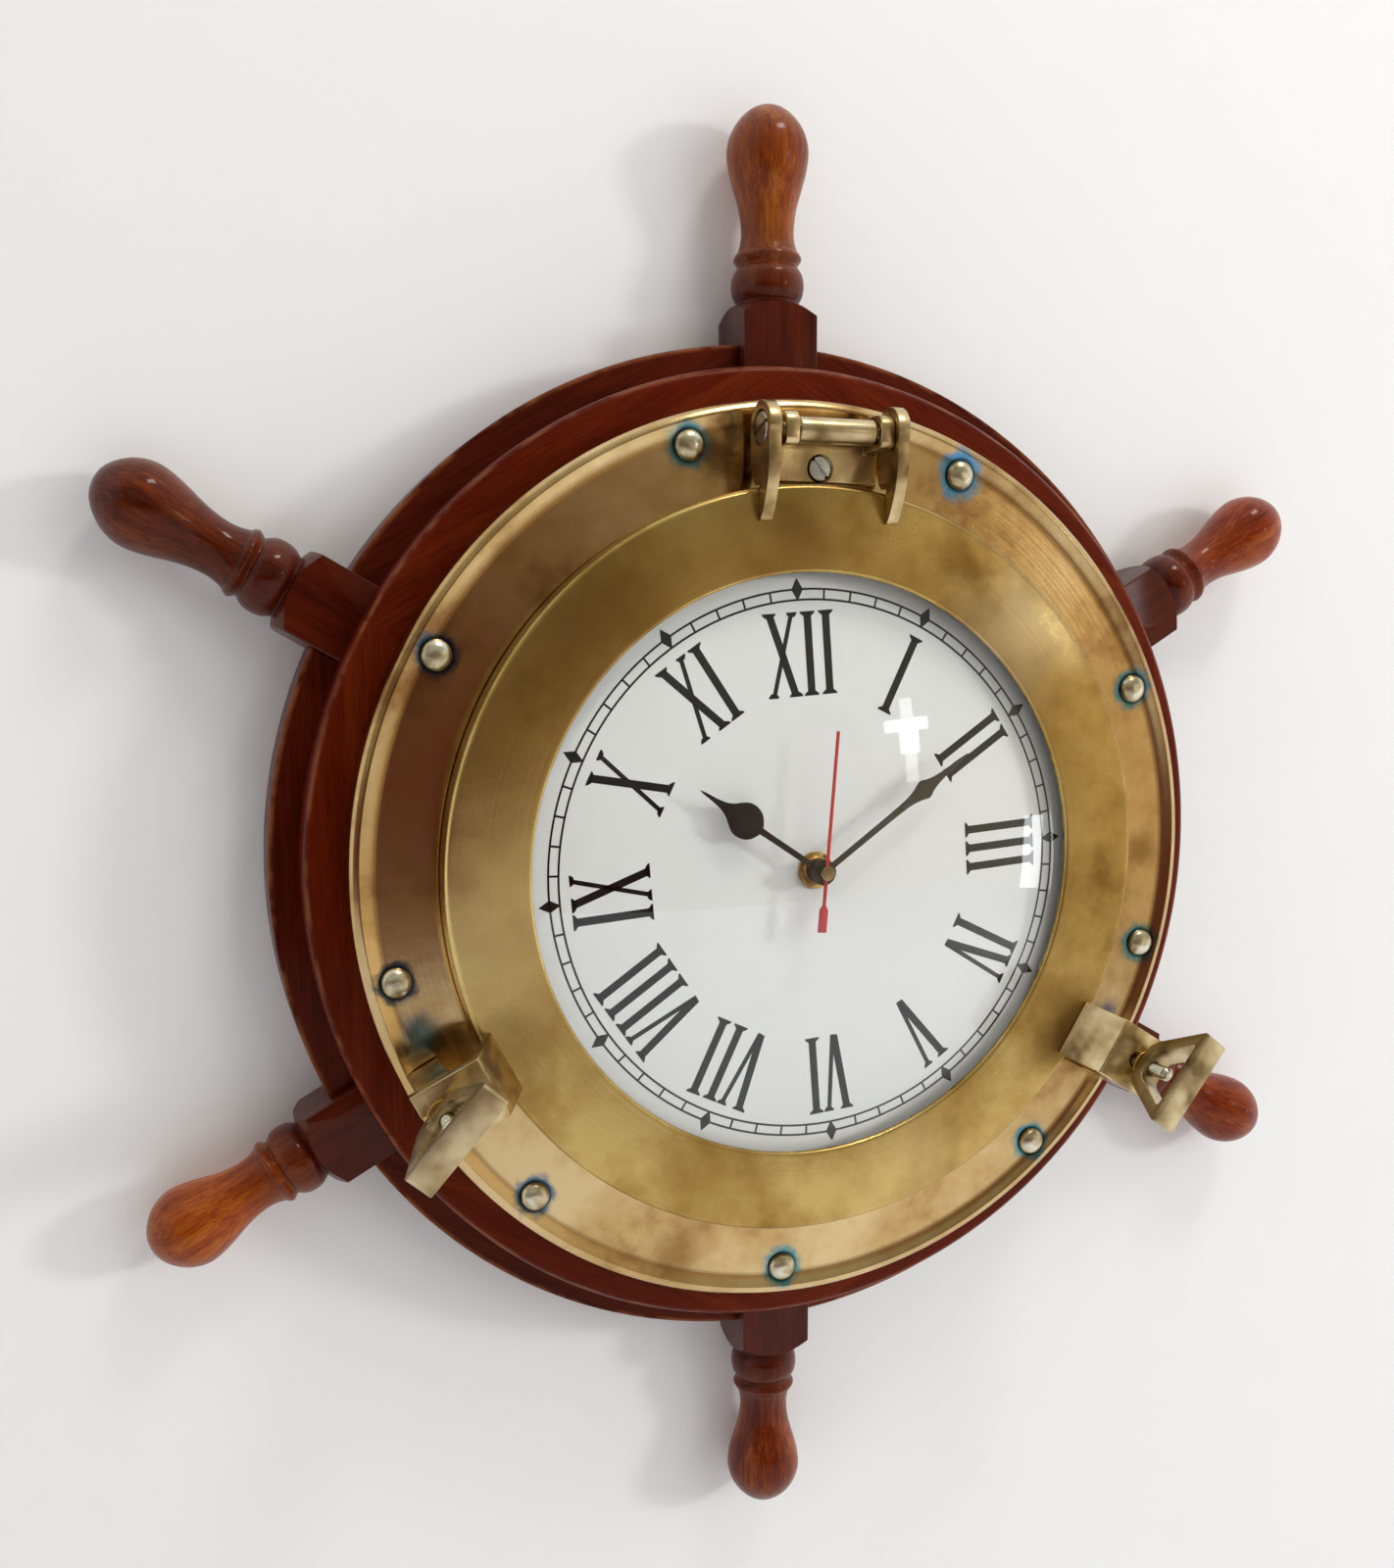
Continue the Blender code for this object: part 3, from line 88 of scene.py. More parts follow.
# Materials
def result(node):
    # a Mix node gives its colour at its third output
    return node.outputs[2 if node.type == "MIX" else 0]


def addNode(tree, kind, values):
    # a value that is a node or a socket is linked, any other is set; a Mix node mixes colours
    node = tree.nodes.new("ShaderNode" + kind)
    if kind == "Mix":
        node.data_type = "RGBA"
    for key, value in values.items():
        if key == "stops":
            stops = node.color_ramp.elements
            while len(stops) < len(value):
                stops.new(1)
            for element, (place, colour) in zip(stops, value):
                element.position = place
                element.color = toLinear(colour) if isinstance(colour, str) else (colour, colour, colour, 1)
        elif isinstance(value, bpy.types.Node):
            tree.links.new(result(value), node.inputs[key])
        elif isinstance(value, bpy.types.NodeSocket):
            tree.links.new(value, node.inputs[key])
        elif isinstance(key, str) and hasattr(node, key):
            setattr(node, key, value)
        else:
            node.inputs[key].default_value = toLinear(value) if isinstance(value, str) else value
    return node


def newMaterial(name, settings):
    material = bpy.data.materials.new(name)
    material.use_nodes = True
    shader = material.node_tree.nodes["Principled BSDF"]
    for key, value in settings.items():
        shader.inputs[key].default_value = toLinear(value) if isinstance(value, str) else value
    return material, material.node_tree, shader


def feed(tree, shader, colour, rough=None, height=None, strength=0, depth=0.2):
    # lead finished patterns into the shader; height becomes a relief that is depth mm deep
    tree.links.new(result(colour), shader.inputs["Base Color"])
    if rough:
        tree.links.new(result(rough), shader.inputs["Roughness"])
    if strength:
        relief = addNode(tree, "Bump", {"Strength": strength, "Distance": depth * mm, "Height": height})
        tree.links.new(result(relief), shader.inputs["Normal"])


def weighed(tree, first, share, second):
    # a share of the first pattern and the rest of the second
    rest = addNode(tree, "Math", {"operation": "MULTIPLY", 0: second, 1: 1 - share})
    return addNode(tree, "Math", {"operation": "MULTIPLY_ADD", 0: first, 1: share, 2: rest})


def seeThrough(tree, shader, share, colour):
    # light passes where share is 1
    clear = addNode(tree, "BsdfTransparent", {"Color": colour})
    mix = addNode(tree, "MixShader", {0: share, 1: shader, 2: clear})
    tree.links.new(mix.outputs[0], tree.nodes["Material Output"].inputs["Surface"])


def inMillimetres(tree):
    return addNode(tree, "VectorMath", {
        "operation": "SCALE", "Scale": 1000.0, 0: addNode(tree, "TexCoord", {}).outputs["Object"]})


def flattened(tree, parts):
    # the place in the plane of the face, without its height
    return addNode(tree, "CombineXYZ", {0: parts, 1: parts.outputs[1]})


def fromAxis(tree, parts):
    return addNode(tree, "VectorMath", {"operation": "LENGTH", 0: flattened(tree, parts)}).outputs["Value"]


def fromSpot(tree, flat, degrees, distance):
    # how far from a spot that lies at degrees clockwise from the top and distance from the centre
    angle = math.radians(degrees)
    centre = (distance * math.sin(angle), distance * math.cos(angle), 0)
    return addNode(tree, "VectorMath", {"operation": "DISTANCE", 0: flat, 1: centre}).outputs["Value"]


# Mahogany, stained and brushed with lacquer: deep red-brown, the grain just showing through the gloss.
# The grain runs along v; on a ring it follows each of the six boards that the ring is sawn from.
# Grain bands, streaks and pores are about twice as coarse as real, to show. Each tone is its dark,
# middle and light colour, and where in the figure the middle one lies.
wood = {
    "front": ("#400b02", "#521303", "#652208", 0.47),
    "rear": ("#310803", "#460e04", "#5c1e08", 0.47),
    "block": ("#2b0602", "#400e04", "#561b08", 0.46),
    "spoke_1": ("#541c08", "#7e3a12", "#a46024", 0.50),
    "spoke_2": ("#501507", "#7e2e10", "#a25222", 0.50),
    "spoke_3": ("#491505", "#74290a", "#a04f1a", 0.48),
    "spoke_4": ("#3a0f05", "#67250c", "#96501c", 0.50),
    "spoke_5": ("#5e1f07", "#8e3f0d", "#ad6420", 0.50),
    "spoke_6": ("#2b0a03", "#4e1a07", "#78380f", 0.48),
}
grain = {"band": 9, "streak": 1.3, "pore": 0.5, "stretch": 18, "haze": 14, "fleck": 3.2}


def stained(tree, figure, tone, full):
    dark, middle, light, centre = tone
    return addNode(tree, "ValToRGB", {0: figure, "stops": [(0.32, dark), (centre, middle), (full, light)]})


def mahogany(name, tone, gloss, seed, wornAndLitEdge=None):
    # a ring has an edge line, wear with a painted highlight, at its radius and height, and a handle has a
    # block instead
    material, tree, shader = newMaterial(name, {
        "Roughness": 0.4, "IOR": 1.5, "Specular IOR Level": 0.22, "Specular Tint": "#c47a4c",
        "Coat Weight": gloss, "Coat Roughness": 0.09, "Coat IOR": 1.5})
    where = inMillimetres(tree)
    parts = addNode(tree, "SeparateXYZ", {0: where})
    if wornAndLitEdge:
        angle = addNode(tree, "Math", {"operation": "ARCTAN2", 0: parts, 1: parts.outputs[1]})
        sixths = addNode(tree, "Math", {"operation": "DIVIDE", 0: angle, 1: math.pi / 3})
        board = addNode(tree, "Math", {"operation": "FLOOR", 0: sixths})
        turn = addNode(tree, "Math", {
            "operation": "MULTIPLY_ADD", 0: board, 1: math.pi / 3, 2: math.pi * 2 / 3})
        where = addNode(tree, "VectorRotate", {
            "rotation_type": "Z_AXIS", "Vector": where, "Angle": turn.outputs[0]})
    fibre = addNode(tree, "Mapping", {
        "Vector": where, "Scale": (1, 1 / grain["stretch"], 1), "Location": (seed * 7.3, seed, seed * 5.7)})
    bands = addNode(tree, "TexNoise", {
        "Vector": fibre, "Scale": 1 / grain["band"], "Detail": 3, "Roughness": 0.55})
    streaks = addNode(tree, "TexNoise", {
        "Vector": fibre, "Scale": 1 / grain["streak"], "Detail": 2, "Roughness": 0.6})
    pores = addNode(tree, "TexNoise", {"Vector": fibre, "Scale": 1 / grain["pore"], "Detail": 1})
    haze = addNode(tree, "TexNoise", {"Vector": where, "Scale": 1 / grain["haze"], "Detail": 2})
    figure = weighed(tree, bands, 0.6, streaks)
    colour = stained(tree, figure, tone, 0.70)
    if not wornAndLitEdge:
        # the square block and the beads by it took the stain darker than the turned grip
        block = stained(tree, figure, wood["block"], 0.72)
        along = addNode(tree, "MapRange", {0: parts.outputs[1], "From Min": 228.0, "From Max": 266.0})
        colour = addNode(tree, "Mix", {0: along, 6: block, 7: colour})
    poreMask = addNode(tree, "ValToRGB", {0: pores, "stops": [(0.30, 0.35), (0.42, 0.0)]})
    colour = addNode(tree, "Mix", {0: poreMask, 6: colour, 7: "#120301"})
    if wornAndLitEdge:
        # the outer edge has a thin broken pale line, wear together with a painted highlight along the arris,
        # and a few light flecks inside it
        edge, top = wornAndLitEdge
        near = addNode(tree, "MapRange", {
            0: fromAxis(tree, parts), "From Min": edge - 2.2, "From Max": edge - 1.0})
        high = addNode(tree, "MapRange", {0: parts.outputs[2], "From Min": top - 2.0, "From Max": top - 1.0})
        broken = addNode(tree, "MapRange", {0: haze, "From Min": 0.40, "From Max": 0.58, "To Max": 0.38})
        line = addNode(tree, "Math", {"operation": "MULTIPLY", 0: near, 1: broken})
        line = addNode(tree, "Math", {"operation": "MULTIPLY", 0: line, 1: high})
        colour = addNode(tree, "Mix", {0: line, 6: colour, 7: "#a8673f"})
        flecks = addNode(tree, "TexNoise", {
            "Vector": where, "Scale": 1 / grain["fleck"], "Detail": 4, "Roughness": 0.75})
        fleckMask = addNode(tree, "ValToRGB", {0: flecks, "stops": [(0.70, 0.0), (0.76, 0.45)]})
        colour = addNode(tree, "Mix", {0: fleckMask, 6: colour, 7: "#9a5a34"})
    rough = addNode(tree, "MapRange", {
        0: haze, "From Min": 0.3, "From Max": 0.7, "To Min": 0.33, "To Max": 0.48})
    feed(tree, shader, colour, rough, figure, 0.12)
    return material


# Brass, spun or cast and once polished, then left to darken: soft brown clouds over warm metal.
# Each kind has its bright, its warm and its darkened colour, its roughness and the width of its clouds
# in mm. The turning marks of the lathe are drawn 1.5 mm apart, to show.
brass = {
    "flange": ("#d8bd8c", "#c3a26c", "#8f673c", 0.15, 70),
    "door": ("#c8ac6a", "#b08f4f", "#8a6a32", 0.27, 55),
    "fitting": ("#d6c193", "#b69d6f", "#7a623e", 0.27, 18),
    "nut": ("#cdbb94", "#b19c74", "#7d6846", 0.31, 14),
    "bright": ("#d2b068", "#b8924c", "#7b5c30", 0.22, 12),
}
wear = {"mottle": 9, "pit": 1.1, "lathe": 1.5}


def brassMaterial(name, kind, seed, marksAndPaintedLight=None):
    # the last argument draws the marks of a large spun piece, tarnish and verdigris with painted reflections
    # and shade among them, and such a piece shows the lathe too
    bright, warm, patina, dull, cloud = brass[kind]
    material, tree, shader = newMaterial(name, {"Metallic": 1.0})
    where = inMillimetres(tree)
    moved = addNode(tree, "Mapping", {"Vector": where, "Location": (seed * 7.3, seed * 3.1, seed * 5.7)})
    clouds = addNode(tree, "TexNoise", {
        "Vector": moved, "Scale": 1 / cloud, "Detail": 2, "Roughness": 0.5})
    mottle = addNode(tree, "TexNoise", {
        "Vector": moved, "Scale": 1 / wear["mottle"], "Detail": 3, "Roughness": 0.55})
    pits = addNode(tree, "TexNoise", {
        "Vector": moved, "Scale": 1 / wear["pit"], "Detail": 2, "Roughness": 0.6})
    mixed = weighed(tree, clouds, 0.75, mottle)
    colour = addNode(tree, "ValToRGB", {0: mixed, "stops": [
        (0.34, patina), (0.47, warm), (0.62, bright)]})
    pitMask = addNode(tree, "ValToRGB", {0: pits, "stops": [(0.66, 0.0), (0.80, 0.22)]})
    colour = addNode(tree, "Mix", {0: pitMask, 6: colour, 7: patina})
    rough = addNode(tree, "MapRange", {0: mixed, "From Min": 0.35, "From Max": 0.62,
                                       "To Min": dull * 1.35, "To Max": dull * 0.85})
    height = pits
    if marksAndPaintedLight:
        parts = addNode(tree, "SeparateXYZ", {0: where})
        colour = marksAndPaintedLight(tree, where, flattened(tree, parts), colour)
        marks = addNode(tree, "TexNoise", {
            "noise_dimensions": "1D", "W": fromAxis(tree, parts), "Scale": 1 / wear["lathe"], "Detail": 1})
        height = addNode(tree, "Math", {"operation": "ADD", 0: marks, 1: mottle})
    feed(tree, shader, colour, rough, height, 0.07, 0.3)
    return material


def blots(tree, flat, colour, marks, shift):
    # soft round marks whose edges shift makes ragged: each has its degrees, its distance from the
    # centre, where it begins to fade and where it ends, its colour and its strength
    for degrees, distance, start, end, tint, most in marks:
        edge = addNode(tree, "Math", {
            "operation": "ADD", 0: fromSpot(tree, flat, degrees, distance), 1: shift})
        share = addNode(tree, "MapRange", {0: edge, "interpolation_type": "SMOOTHSTEP", "From Min": start,
                                           "From Max": end, "To Min": most, "To Max": 0.0})
        colour = addNode(tree, "Mix", {0: share, 6: colour, 7: tint})
    return colour


def paint(name, hexColour, settings, period, relief=0.06, spread=0.12):
    # paint, plastic or rubber: one colour, slightly uneven as it was sprayed, printed or moulded
    material, tree, shader = newMaterial(name, settings)
    uneven = addNode(tree, "TexNoise", {
        "Vector": inMillimetres(tree), "Scale": 1 / period, "Detail": 3, "Roughness": 0.6})
    darker = (*[part * (1 - spread) for part in toLinear(hexColour)[:3]], 1)
    colour = addNode(tree, "Mix", {0: uneven, 6: darker, 7: hexColour})
    feed(tree, shader, colour, None, uneven, relief)
    return material


def steelMaterial(name, low="#8d8d88", high="#d4d4cf", rough=0.28):
    # zinc-plated steel: bright, with fine drawing marks 0.8 mm apart and a little dulling
    material, tree, shader = newMaterial(name, {"Metallic": 1.0})
    drawn = addNode(tree, "Mapping", {"Vector": inMillimetres(tree), "Scale": (1, 1, 1 / 6)})
    marks = addNode(tree, "TexNoise", {"Vector": drawn, "Scale": 1 / 0.8, "Detail": 3, "Roughness": 0.6})
    colour = addNode(tree, "ValToRGB", {0: marks, "stops": [(0.3, low), (0.6, high)]})
    dull = addNode(tree, "MapRange", {0: marks, "To Min": rough * 1.4, "To Max": rough * 0.8})
    feed(tree, shader, colour, dull, marks, 0.12)
    return material


def glassMaterial():
    # clear window glass, blown to a dome: lamps shine through it, the eye sees gloss and a slight bend
    material, tree, shader = newMaterial("blownWindowGlass", {
        "Base Color": "#fdfefe", "Roughness": 0.0, "IOR": 1.45, "Transmission Weight": 1.0})
    seeThrough(tree, shader, addNode(tree, "LightPath", {}).outputs["Is Shadow Ray"], "#fbfbfb")
    return material


# Shapes
def rectangle(left, right, low, high, *radius):
    return [(left, low, *radius), (right, low, *radius), (right, high, *radius), (left, high, *radius)]


def filleted(points, steps=5):
    # round each corner that has a third number, its radius
    rounded = []
    for index, point in enumerate(points):
        corner = Vector(point[:2])
        radius = point[2] if len(point) > 2 else 0
        before = Vector(points[index - 1][:2]) - corner
        after = Vector(points[(index + 1) % len(points)][:2]) - corner
        if not radius or before.length < 1e-6 or after.length < 1e-6:
            rounded.append(tuple(corner))
            continue
        half = before.angle(after) / 2
        reach = min(radius / math.tan(half), 0.49 * before.length, 0.49 * after.length)
        radius = reach * math.tan(half)
        middle = corner + (before.normalized() + after.normalized()).normalized() * (radius / math.sin(half))
        start = corner + before.normalized() * reach - middle
        end = corner + after.normalized() * reach - middle
        first = math.atan2(start.y, start.x)
        sweep = (math.atan2(end.y, end.x) - first + math.pi) % (2 * math.pi) - math.pi
        for step in range(steps + 1):
            angle = first + sweep * step / steps
            rounded.append((middle.x + radius * math.cos(angle), middle.y + radius * math.sin(angle)))
    return rounded


def curved(points, each):
    # a smooth line through the points, in each steps from one to the next
    line = []
    for index in range(len(points) - 1):
        p0, p1 = points[max(index - 1, 0)], points[index]
        p2, p3 = points[index + 1], points[min(index + 2, len(points) - 1)]
        for step in range(each):
            t = step / each
            line.append(tuple(0.5 * (2 * b + (c - a) * t + (2 * a - 5 * b + 4 * c - d) * t * t
                                     + (3 * b - a - 3 * c + d) * t ** 3)
                              for a, b, c, d in zip(p0, p1, p2, p3)))
    return line + [tuple(points[-1])]


def turned(bm, outline, steps):
    # revolve a closed outline of (radius, height) about the third axis
    rings = []
    for radius, height in outline:
        if radius < 1e-6:
            rings.append([bm.verts.new((0, 0, height))])
        else:
            rings.append([bm.verts.new((radius * math.cos(2 * math.pi * step / steps),
                                        radius * math.sin(2 * math.pi * step / steps), height))
                          for step in range(steps)])
    for here, there in zip(rings, rings[1:] + rings[:1]):
        if len(here) == 1 and len(there) == 1:
            continue
        for step in range(steps):
            after = (step + 1) % steps
            corners = [here[0]] if len(here) == 1 else [here[step], here[after]]
            corners += [there[0]] if len(there) == 1 else [there[after], there[step]]
            bm.faces.new(corners)
    return bm


def extruded(bm, outline, low, high, along="w"):
    order = {"w": lambda a, b, c: (a, b, c), "u": lambda a, b, c: (c, a, b),
             "v": lambda a, b, c: (a, c, b)}[along]
    bottom = [bm.verts.new(order(a, b, low)) for a, b in outline]
    top = [bm.verts.new(order(a, b, high)) for a, b in outline]
    bm.faces.new(bottom)
    bm.faces.new(top)
    for index in range(len(outline)):
        after = (index + 1) % len(outline)
        bm.faces.new((bottom[index], bottom[after], top[after], top[index]))
    return bm


def at(u, v, w):
    return Matrix.Translation((u * mm, v * mm, w * mm))


def clockwise(degrees):
    return Matrix.Rotation(math.radians(-degrees), 4, "Z")


def lying(axis):
    # turn a lathe's own axis to lie along u or v
    degrees, about = (90, "Y") if axis == "u" else (-90, "X")
    return Matrix.Rotation(math.radians(degrees), 4, about)


def makePiece(name, bm, place):
    bmesh.ops.remove_doubles(bm, verts=bm.verts, dist=0.0005)
    bmesh.ops.scale(bm, vec=(mm, mm, mm), verts=bm.verts)
    bmesh.ops.recalc_face_normals(bm, faces=bm.faces)
    mesh = bpy.data.meshes.new(name)
    bm.to_mesh(mesh)
    bm.free()
    piece = bpy.data.objects.new(name, mesh)
    bpy.context.scene.collection.objects.link(piece)
    piece.matrix_world = face @ place
    return piece


def lathed(name, outline, steps, place=Matrix()):
    return makePiece(name, turned(bmesh.new(), outline, steps), place)


def slab(name, outline, low, high, along="w", place=Matrix()):
    return makePiece(name, extruded(bmesh.new(), outline, low, high, along), place)


def bake(piece):
    bpy.context.view_layer.update()
    shape = bpy.data.meshes.new_from_object(piece.evaluated_get(bpy.context.evaluated_depsgraph_get()))
    piece.modifiers.clear()
    piece.data = shape
    return piece


def combine(piece, tools, how="DIFFERENCE"):
    for tool in tools:
        step = piece.modifiers.new("shape", "BOOLEAN")
        step.operation = how
        step.solver = "EXACT"
        step.object = tool
        bake(piece)
        bpy.data.objects.remove(tool, do_unlink=True)
    return piece


def bevelled(piece, width, segments=3):
    step = piece.modifiers.new("edges", "BEVEL")
    step.width = width * mm
    step.segments = segments
    step.limit_method = "ANGLE"
    step.angle_limit = math.radians(40)
    return bake(piece)


def dress(piece, material, body, replaced, angle=35):
    piece.data.materials.clear()
    piece.data.materials.append(material)
    piece.data.shade_smooth()
    piece.data.set_sharp_from_angle(angle=math.radians(angle))
    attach(piece, body)
    if replaced:
        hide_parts(*replaced)


# The wooden wheel: the turns and reaches of its handles, the square blocks, and its two rings
wheel = {"turns": (0.0, 59.8, 119.3, 180.3, 241.4, 299.7), "tips": (304.6, 304.8, 311.7, 305.5, 300.1, 303.6),
         "blockWidth": 32.0, "blockDepth": 30.0, "blockInner": 166.0, "blockEdge": 0.7,
         "shoulder": 221.5, "neck": 12.6, "neckAt": 228.0, "fullTip": 305.0, "gloss": 0.3}
rings = {"rear": {"inner": 156.0, "outer": 211.5, "back": -15.0, "front": 8.0, "rounds": (1.2, 1.2, 1.2),
                  "gloss": 0.08, "seed": 3},
         "front": {"inner": 156.0, "outer": 200.0, "back": 8.3, "front": 27.5, "rounds": (0, 0.8, 3.2),
                   "gloss": 0.05, "seed": 8}}
# handle, from the neck out: place along a spoke whose tip is at 305, and radius
handle = {"beads": [(227.0, 12.6), (228.6, 12.7), (229.8, 13.4), (232.0, 14.5), (235.6, 15.0), (239.2, 14.5),
                    (241.6, 13.2), (242.8, 12.3)],
          "ridge": [(243.4, 12.3), (244.6, 13.2), (246.0, 13.95), (247.6, 13.3), (248.6, 12.3)],
          "grip": [(249.0, 12.2), (251.5, 11.4), (254.5, 10.9), (258.0, 10.85), (263.0, 11.4), (268.0, 12.5),
                   (274.0, 14.3), (280.0, 15.9), (286.0, 16.7), (290.5, 16.2), (295.0, 14.5), (299.0, 11.7),
                   (302.2, 8.2), (304.2, 4.4), (305.0, 0.0)]}


def makeSpoke(index):
    name = "spoke_%d" % (index + 1)
    turn = clockwise(wheel["turns"][index])
    half, depth = wheel["blockWidth"] / 2, wheel["blockDepth"] / 2
    inner, shoulder, neck, neckAt = (wheel[key] for key in ("blockInner", "shoulder", "neck", "neckAt"))
    block = slab(name + "_turned", filleted(rectangle(-half, half, -depth, depth, wheel["blockEdge"]), 3),
                 inner, neckAt + 4, "v", turn)
    # the corners of the block are turned away in a curve that runs down to the neck
    corner = math.hypot(half, depth) + 1
    outline = [(0, inner - 5), (corner + 3, inner - 5), (corner + 3, shoulder - 2)]
    outline += curved([(corner, shoulder - 0.6), (corner - 1.2, shoulder + 0.9), (19.4, 224.2), (16.4, 226.4),
                       (neck + 1.2, 227.6), (neck, 227.9)], 5)
    outline.append((0, neckAt))
    combine(block, [lathed("turning", outline, 96, turn @ lying("v"))], "INTERSECT")
    stretch = (wheel["tips"][index] - shoulder) / (wheel["fullTip"] - shoulder)
    outline = [(0, neckAt - 2), (neck, neckAt - 2)]
    for part in handle.values():
        outline += [(radius, shoulder + (place - shoulder) * stretch) for place, radius in curved(part, 4)]
    combine(block, [lathed("grip", outline, 96, turn @ lying("v"))], "UNION")
    material = mahogany("lacqueredMahogany_" + name, wood[name], wheel["gloss"], index * 5)
    dress(block, material, "wheel", (name,), 40)


def makeRings():
    # each ring has a room for every block that is let into it
    half, low = wheel["blockWidth"] / 2 + play, wheel["blockInner"] - play
    for name, ring in rings.items():
        inner, outer, back, front = (ring[key] for key in ("inner", "outer", "back", "front"))
        corners = zip(((inner, back), (outer, back), (outer, front)), ring["rounds"])
        outline = [(*corner, radius) for corner, radius in corners] + [(inner, front)]
        piece = lathed(name + "_ring_turned", filleted(outline), 288)
        deep = min(front + 2, wheel["blockDepth"] / 2 + play)
        combine(piece, [slab("room", rectangle(-half, half, low, outer + 5), back - 2, deep, "w",
                             clockwise(degrees)) for degrees in wheel["turns"]])
        material = mahogany("lacqueredMahogany" + name.capitalize(), wood[name], ring["gloss"], ring["seed"],
                            (outer, front))
        dress(piece, material, "wheel", (name + "_ring",))


# The brass porthole flange and its rivets. The dome is given from the flange's face up.
flange = {"foot": 185.0, "footLow": 27.8, "crest": 181.4, "crestHigh": 42.2, "face": 40.6, "sheet": 2.0,
          "seatOuter": 148.0, "seat": 41.2, "inner": 121.0}
rivets = {"circle": 173.0, "degrees": [343.3, 23.3, 65.5, 104.3, 139.1, 183.3, 223.0, 258.3, 300.2],
          "head": 6.0, "dome": [(6.0, 0), (5.85, 0.9), (5.0, 2.15), (3.2, 3.2), (1.4, 3.58), (0, 3.6)],
          "shank": 2.1, "depth": 21.0}
# copper salts: a soft halo round each rivet, its reach beyond the head in mm and its colour
halos = [(3.6, "#2b7f8c"), (5.2, "#2f8fc0"), (3.8, "#2b8296"), (3.6, "#3a7f86"), (3.6, "#2f8494"),
         (3.8, "#2f8a98"), (3.4, "#1f5f86"), (2.8, "#1b3f5c"), (3.0, "#1b4460")]
# larger patches on the flange: degrees clockwise from the top, distance from the centre, size and colour. The
# light blue one at 250.5 degrees is verdigris with a painted reflection over it; the others are darker
# patches
flangePatchesAndSheen = [(250.5, 170.0, 9.0, "#4a90b8"), (116.5, 169.0, 7.5, "#1d3f70"), (346.5, 166.0, 8.0, "#5a3d22"),
          (351.0, 160.0, 6.0, "#6a4a28"), (90.0, 166.0, 9.0, "#8a6a3a"), (200.0, 171.0, 12.0, "#8f6a3c")]


# verdigris round the rivets, painted shade under their heads, and the flange's larger patches, one of them
# with a painted reflection
def verdigrisShadeAndSheen(tree, where, flat, colour):
    ragged = addNode(tree, "TexNoise", {"Vector": where, "Scale": 1 / 6, "Detail": 3, "Roughness": 0.6})
    shift = addNode(tree, "MapRange", {
        0: ragged, "From Min": 0.3, "From Max": 0.7, "To Min": -1.6, "To Max": 1.6})
    head, circle = rivets["head"], rivets["circle"]
    colour = blots(tree, flat, colour, [(degrees, circle, head + 0.4, head + reach + 1.2, tint, 0.88)
                                        for degrees, (reach, tint) in zip(rivets["degrees"], halos)], shift)
    for degrees in rivets["degrees"]:
        # painted shade: a dark line in the corner under the head
        away = fromSpot(tree, flat, degrees, circle)
        headShade = addNode(tree, "MapRange", {
            0: away, "From Min": head + 0.3, "From Max": head + 1.5, "To Min": 0.85, "To Max": 0.0})
        colour = addNode(tree, "Mix", {0: headShade, 6: colour, 7: "#12262b"})
    return blots(tree, flat, colour, [(degrees, distance, size * 0.2 + 0.4, size * 1.2 + 1.2, tint, 0.75)
                                      for degrees, distance, size, tint in flangePatchesAndSheen], shift)


def makeFlange():
    foot, low, crest, high, level, sheet, outer, seat, inner = flange.values()
    outline = filleted([
        (foot - sheet, low), (foot, low), (foot, high - 1.2, 3.4), (crest + 0.4, high + 0.35, 1.6),
        (crest - 4.6, level + 0.1, 24), (outer + 1, level), (outer, seat), (inner, seat),
        (inner, seat - sheet), (outer + sheet, seat - sheet), (outer + sheet * 1.5, level - sheet),
        (crest - 6, level - sheet, 6), (crest - 1, high - sheet, 1.5),
        (foot - sheet, high - sheet * 2.4, 1.5)])
    dress(lathed("porthole_flange_spun", outline, 360),
          brassMaterial("polishedBrassFlange", "flange", 4, verdigrisShadeAndSheen), "wheel", ("porthole_flange",),
          30)


def makeRivets():
    low, shank, depth = flange["face"] + play, rivets["shank"], rivets["depth"]
    outline = [(0, depth), (shank, depth), (shank, low)]
    outline += curved([(radius, low + height) for radius, height in rivets["dome"]], 4)
    # nickel-plated and tumbled: smooth and satin, a little yellow, duller in spots
    material, tree, shader = newMaterial("tumbledNickelRivet", {"Metallic": 1.0})
    spots = addNode(tree, "TexNoise", {"Vector": inMillimetres(tree), "Scale": 1 / 5, "Detail": 2})
    colour = addNode(tree, "ValToRGB", {0: spots, "stops": [
        (0.30, "#9a8a68"), (0.48, "#c4b896"), (0.65, "#dcd6c2")]})
    rough = addNode(tree, "MapRange", {0: spots, "To Min": 0.36, "To Max": 0.22})
    feed(tree, shader, colour, rough, spots, 0.05, 0.3)
    for index, degrees in enumerate(rivets["degrees"]):
        place = clockwise(degrees) @ at(0, rivets["circle"], 0)
        dress(lathed("rivet_domed_%d" % (index + 1), outline, 40, place), material, "wheel",
              ("flange_rivet_%d" % (index + 1),))


# The door, its glass, gasket and retaining ring
door = {"outer": 151.8, "back": 43.0, "front": 53.0, "sheet": 2.7, "round": 2.4, "lip": 118.3,
        "glassEdge": 128.0, "dome": 117.0, "glassBack": 46.7, "glassThick": 2.3, "rise": 14.5,
        "gasketInner": 119.6, "gasketOuter": 127.5, "retainerInner": 125.2, "retainerOuter": 133.0,
        "retainerBack": 45.3, "retainerSheet": 1.1}
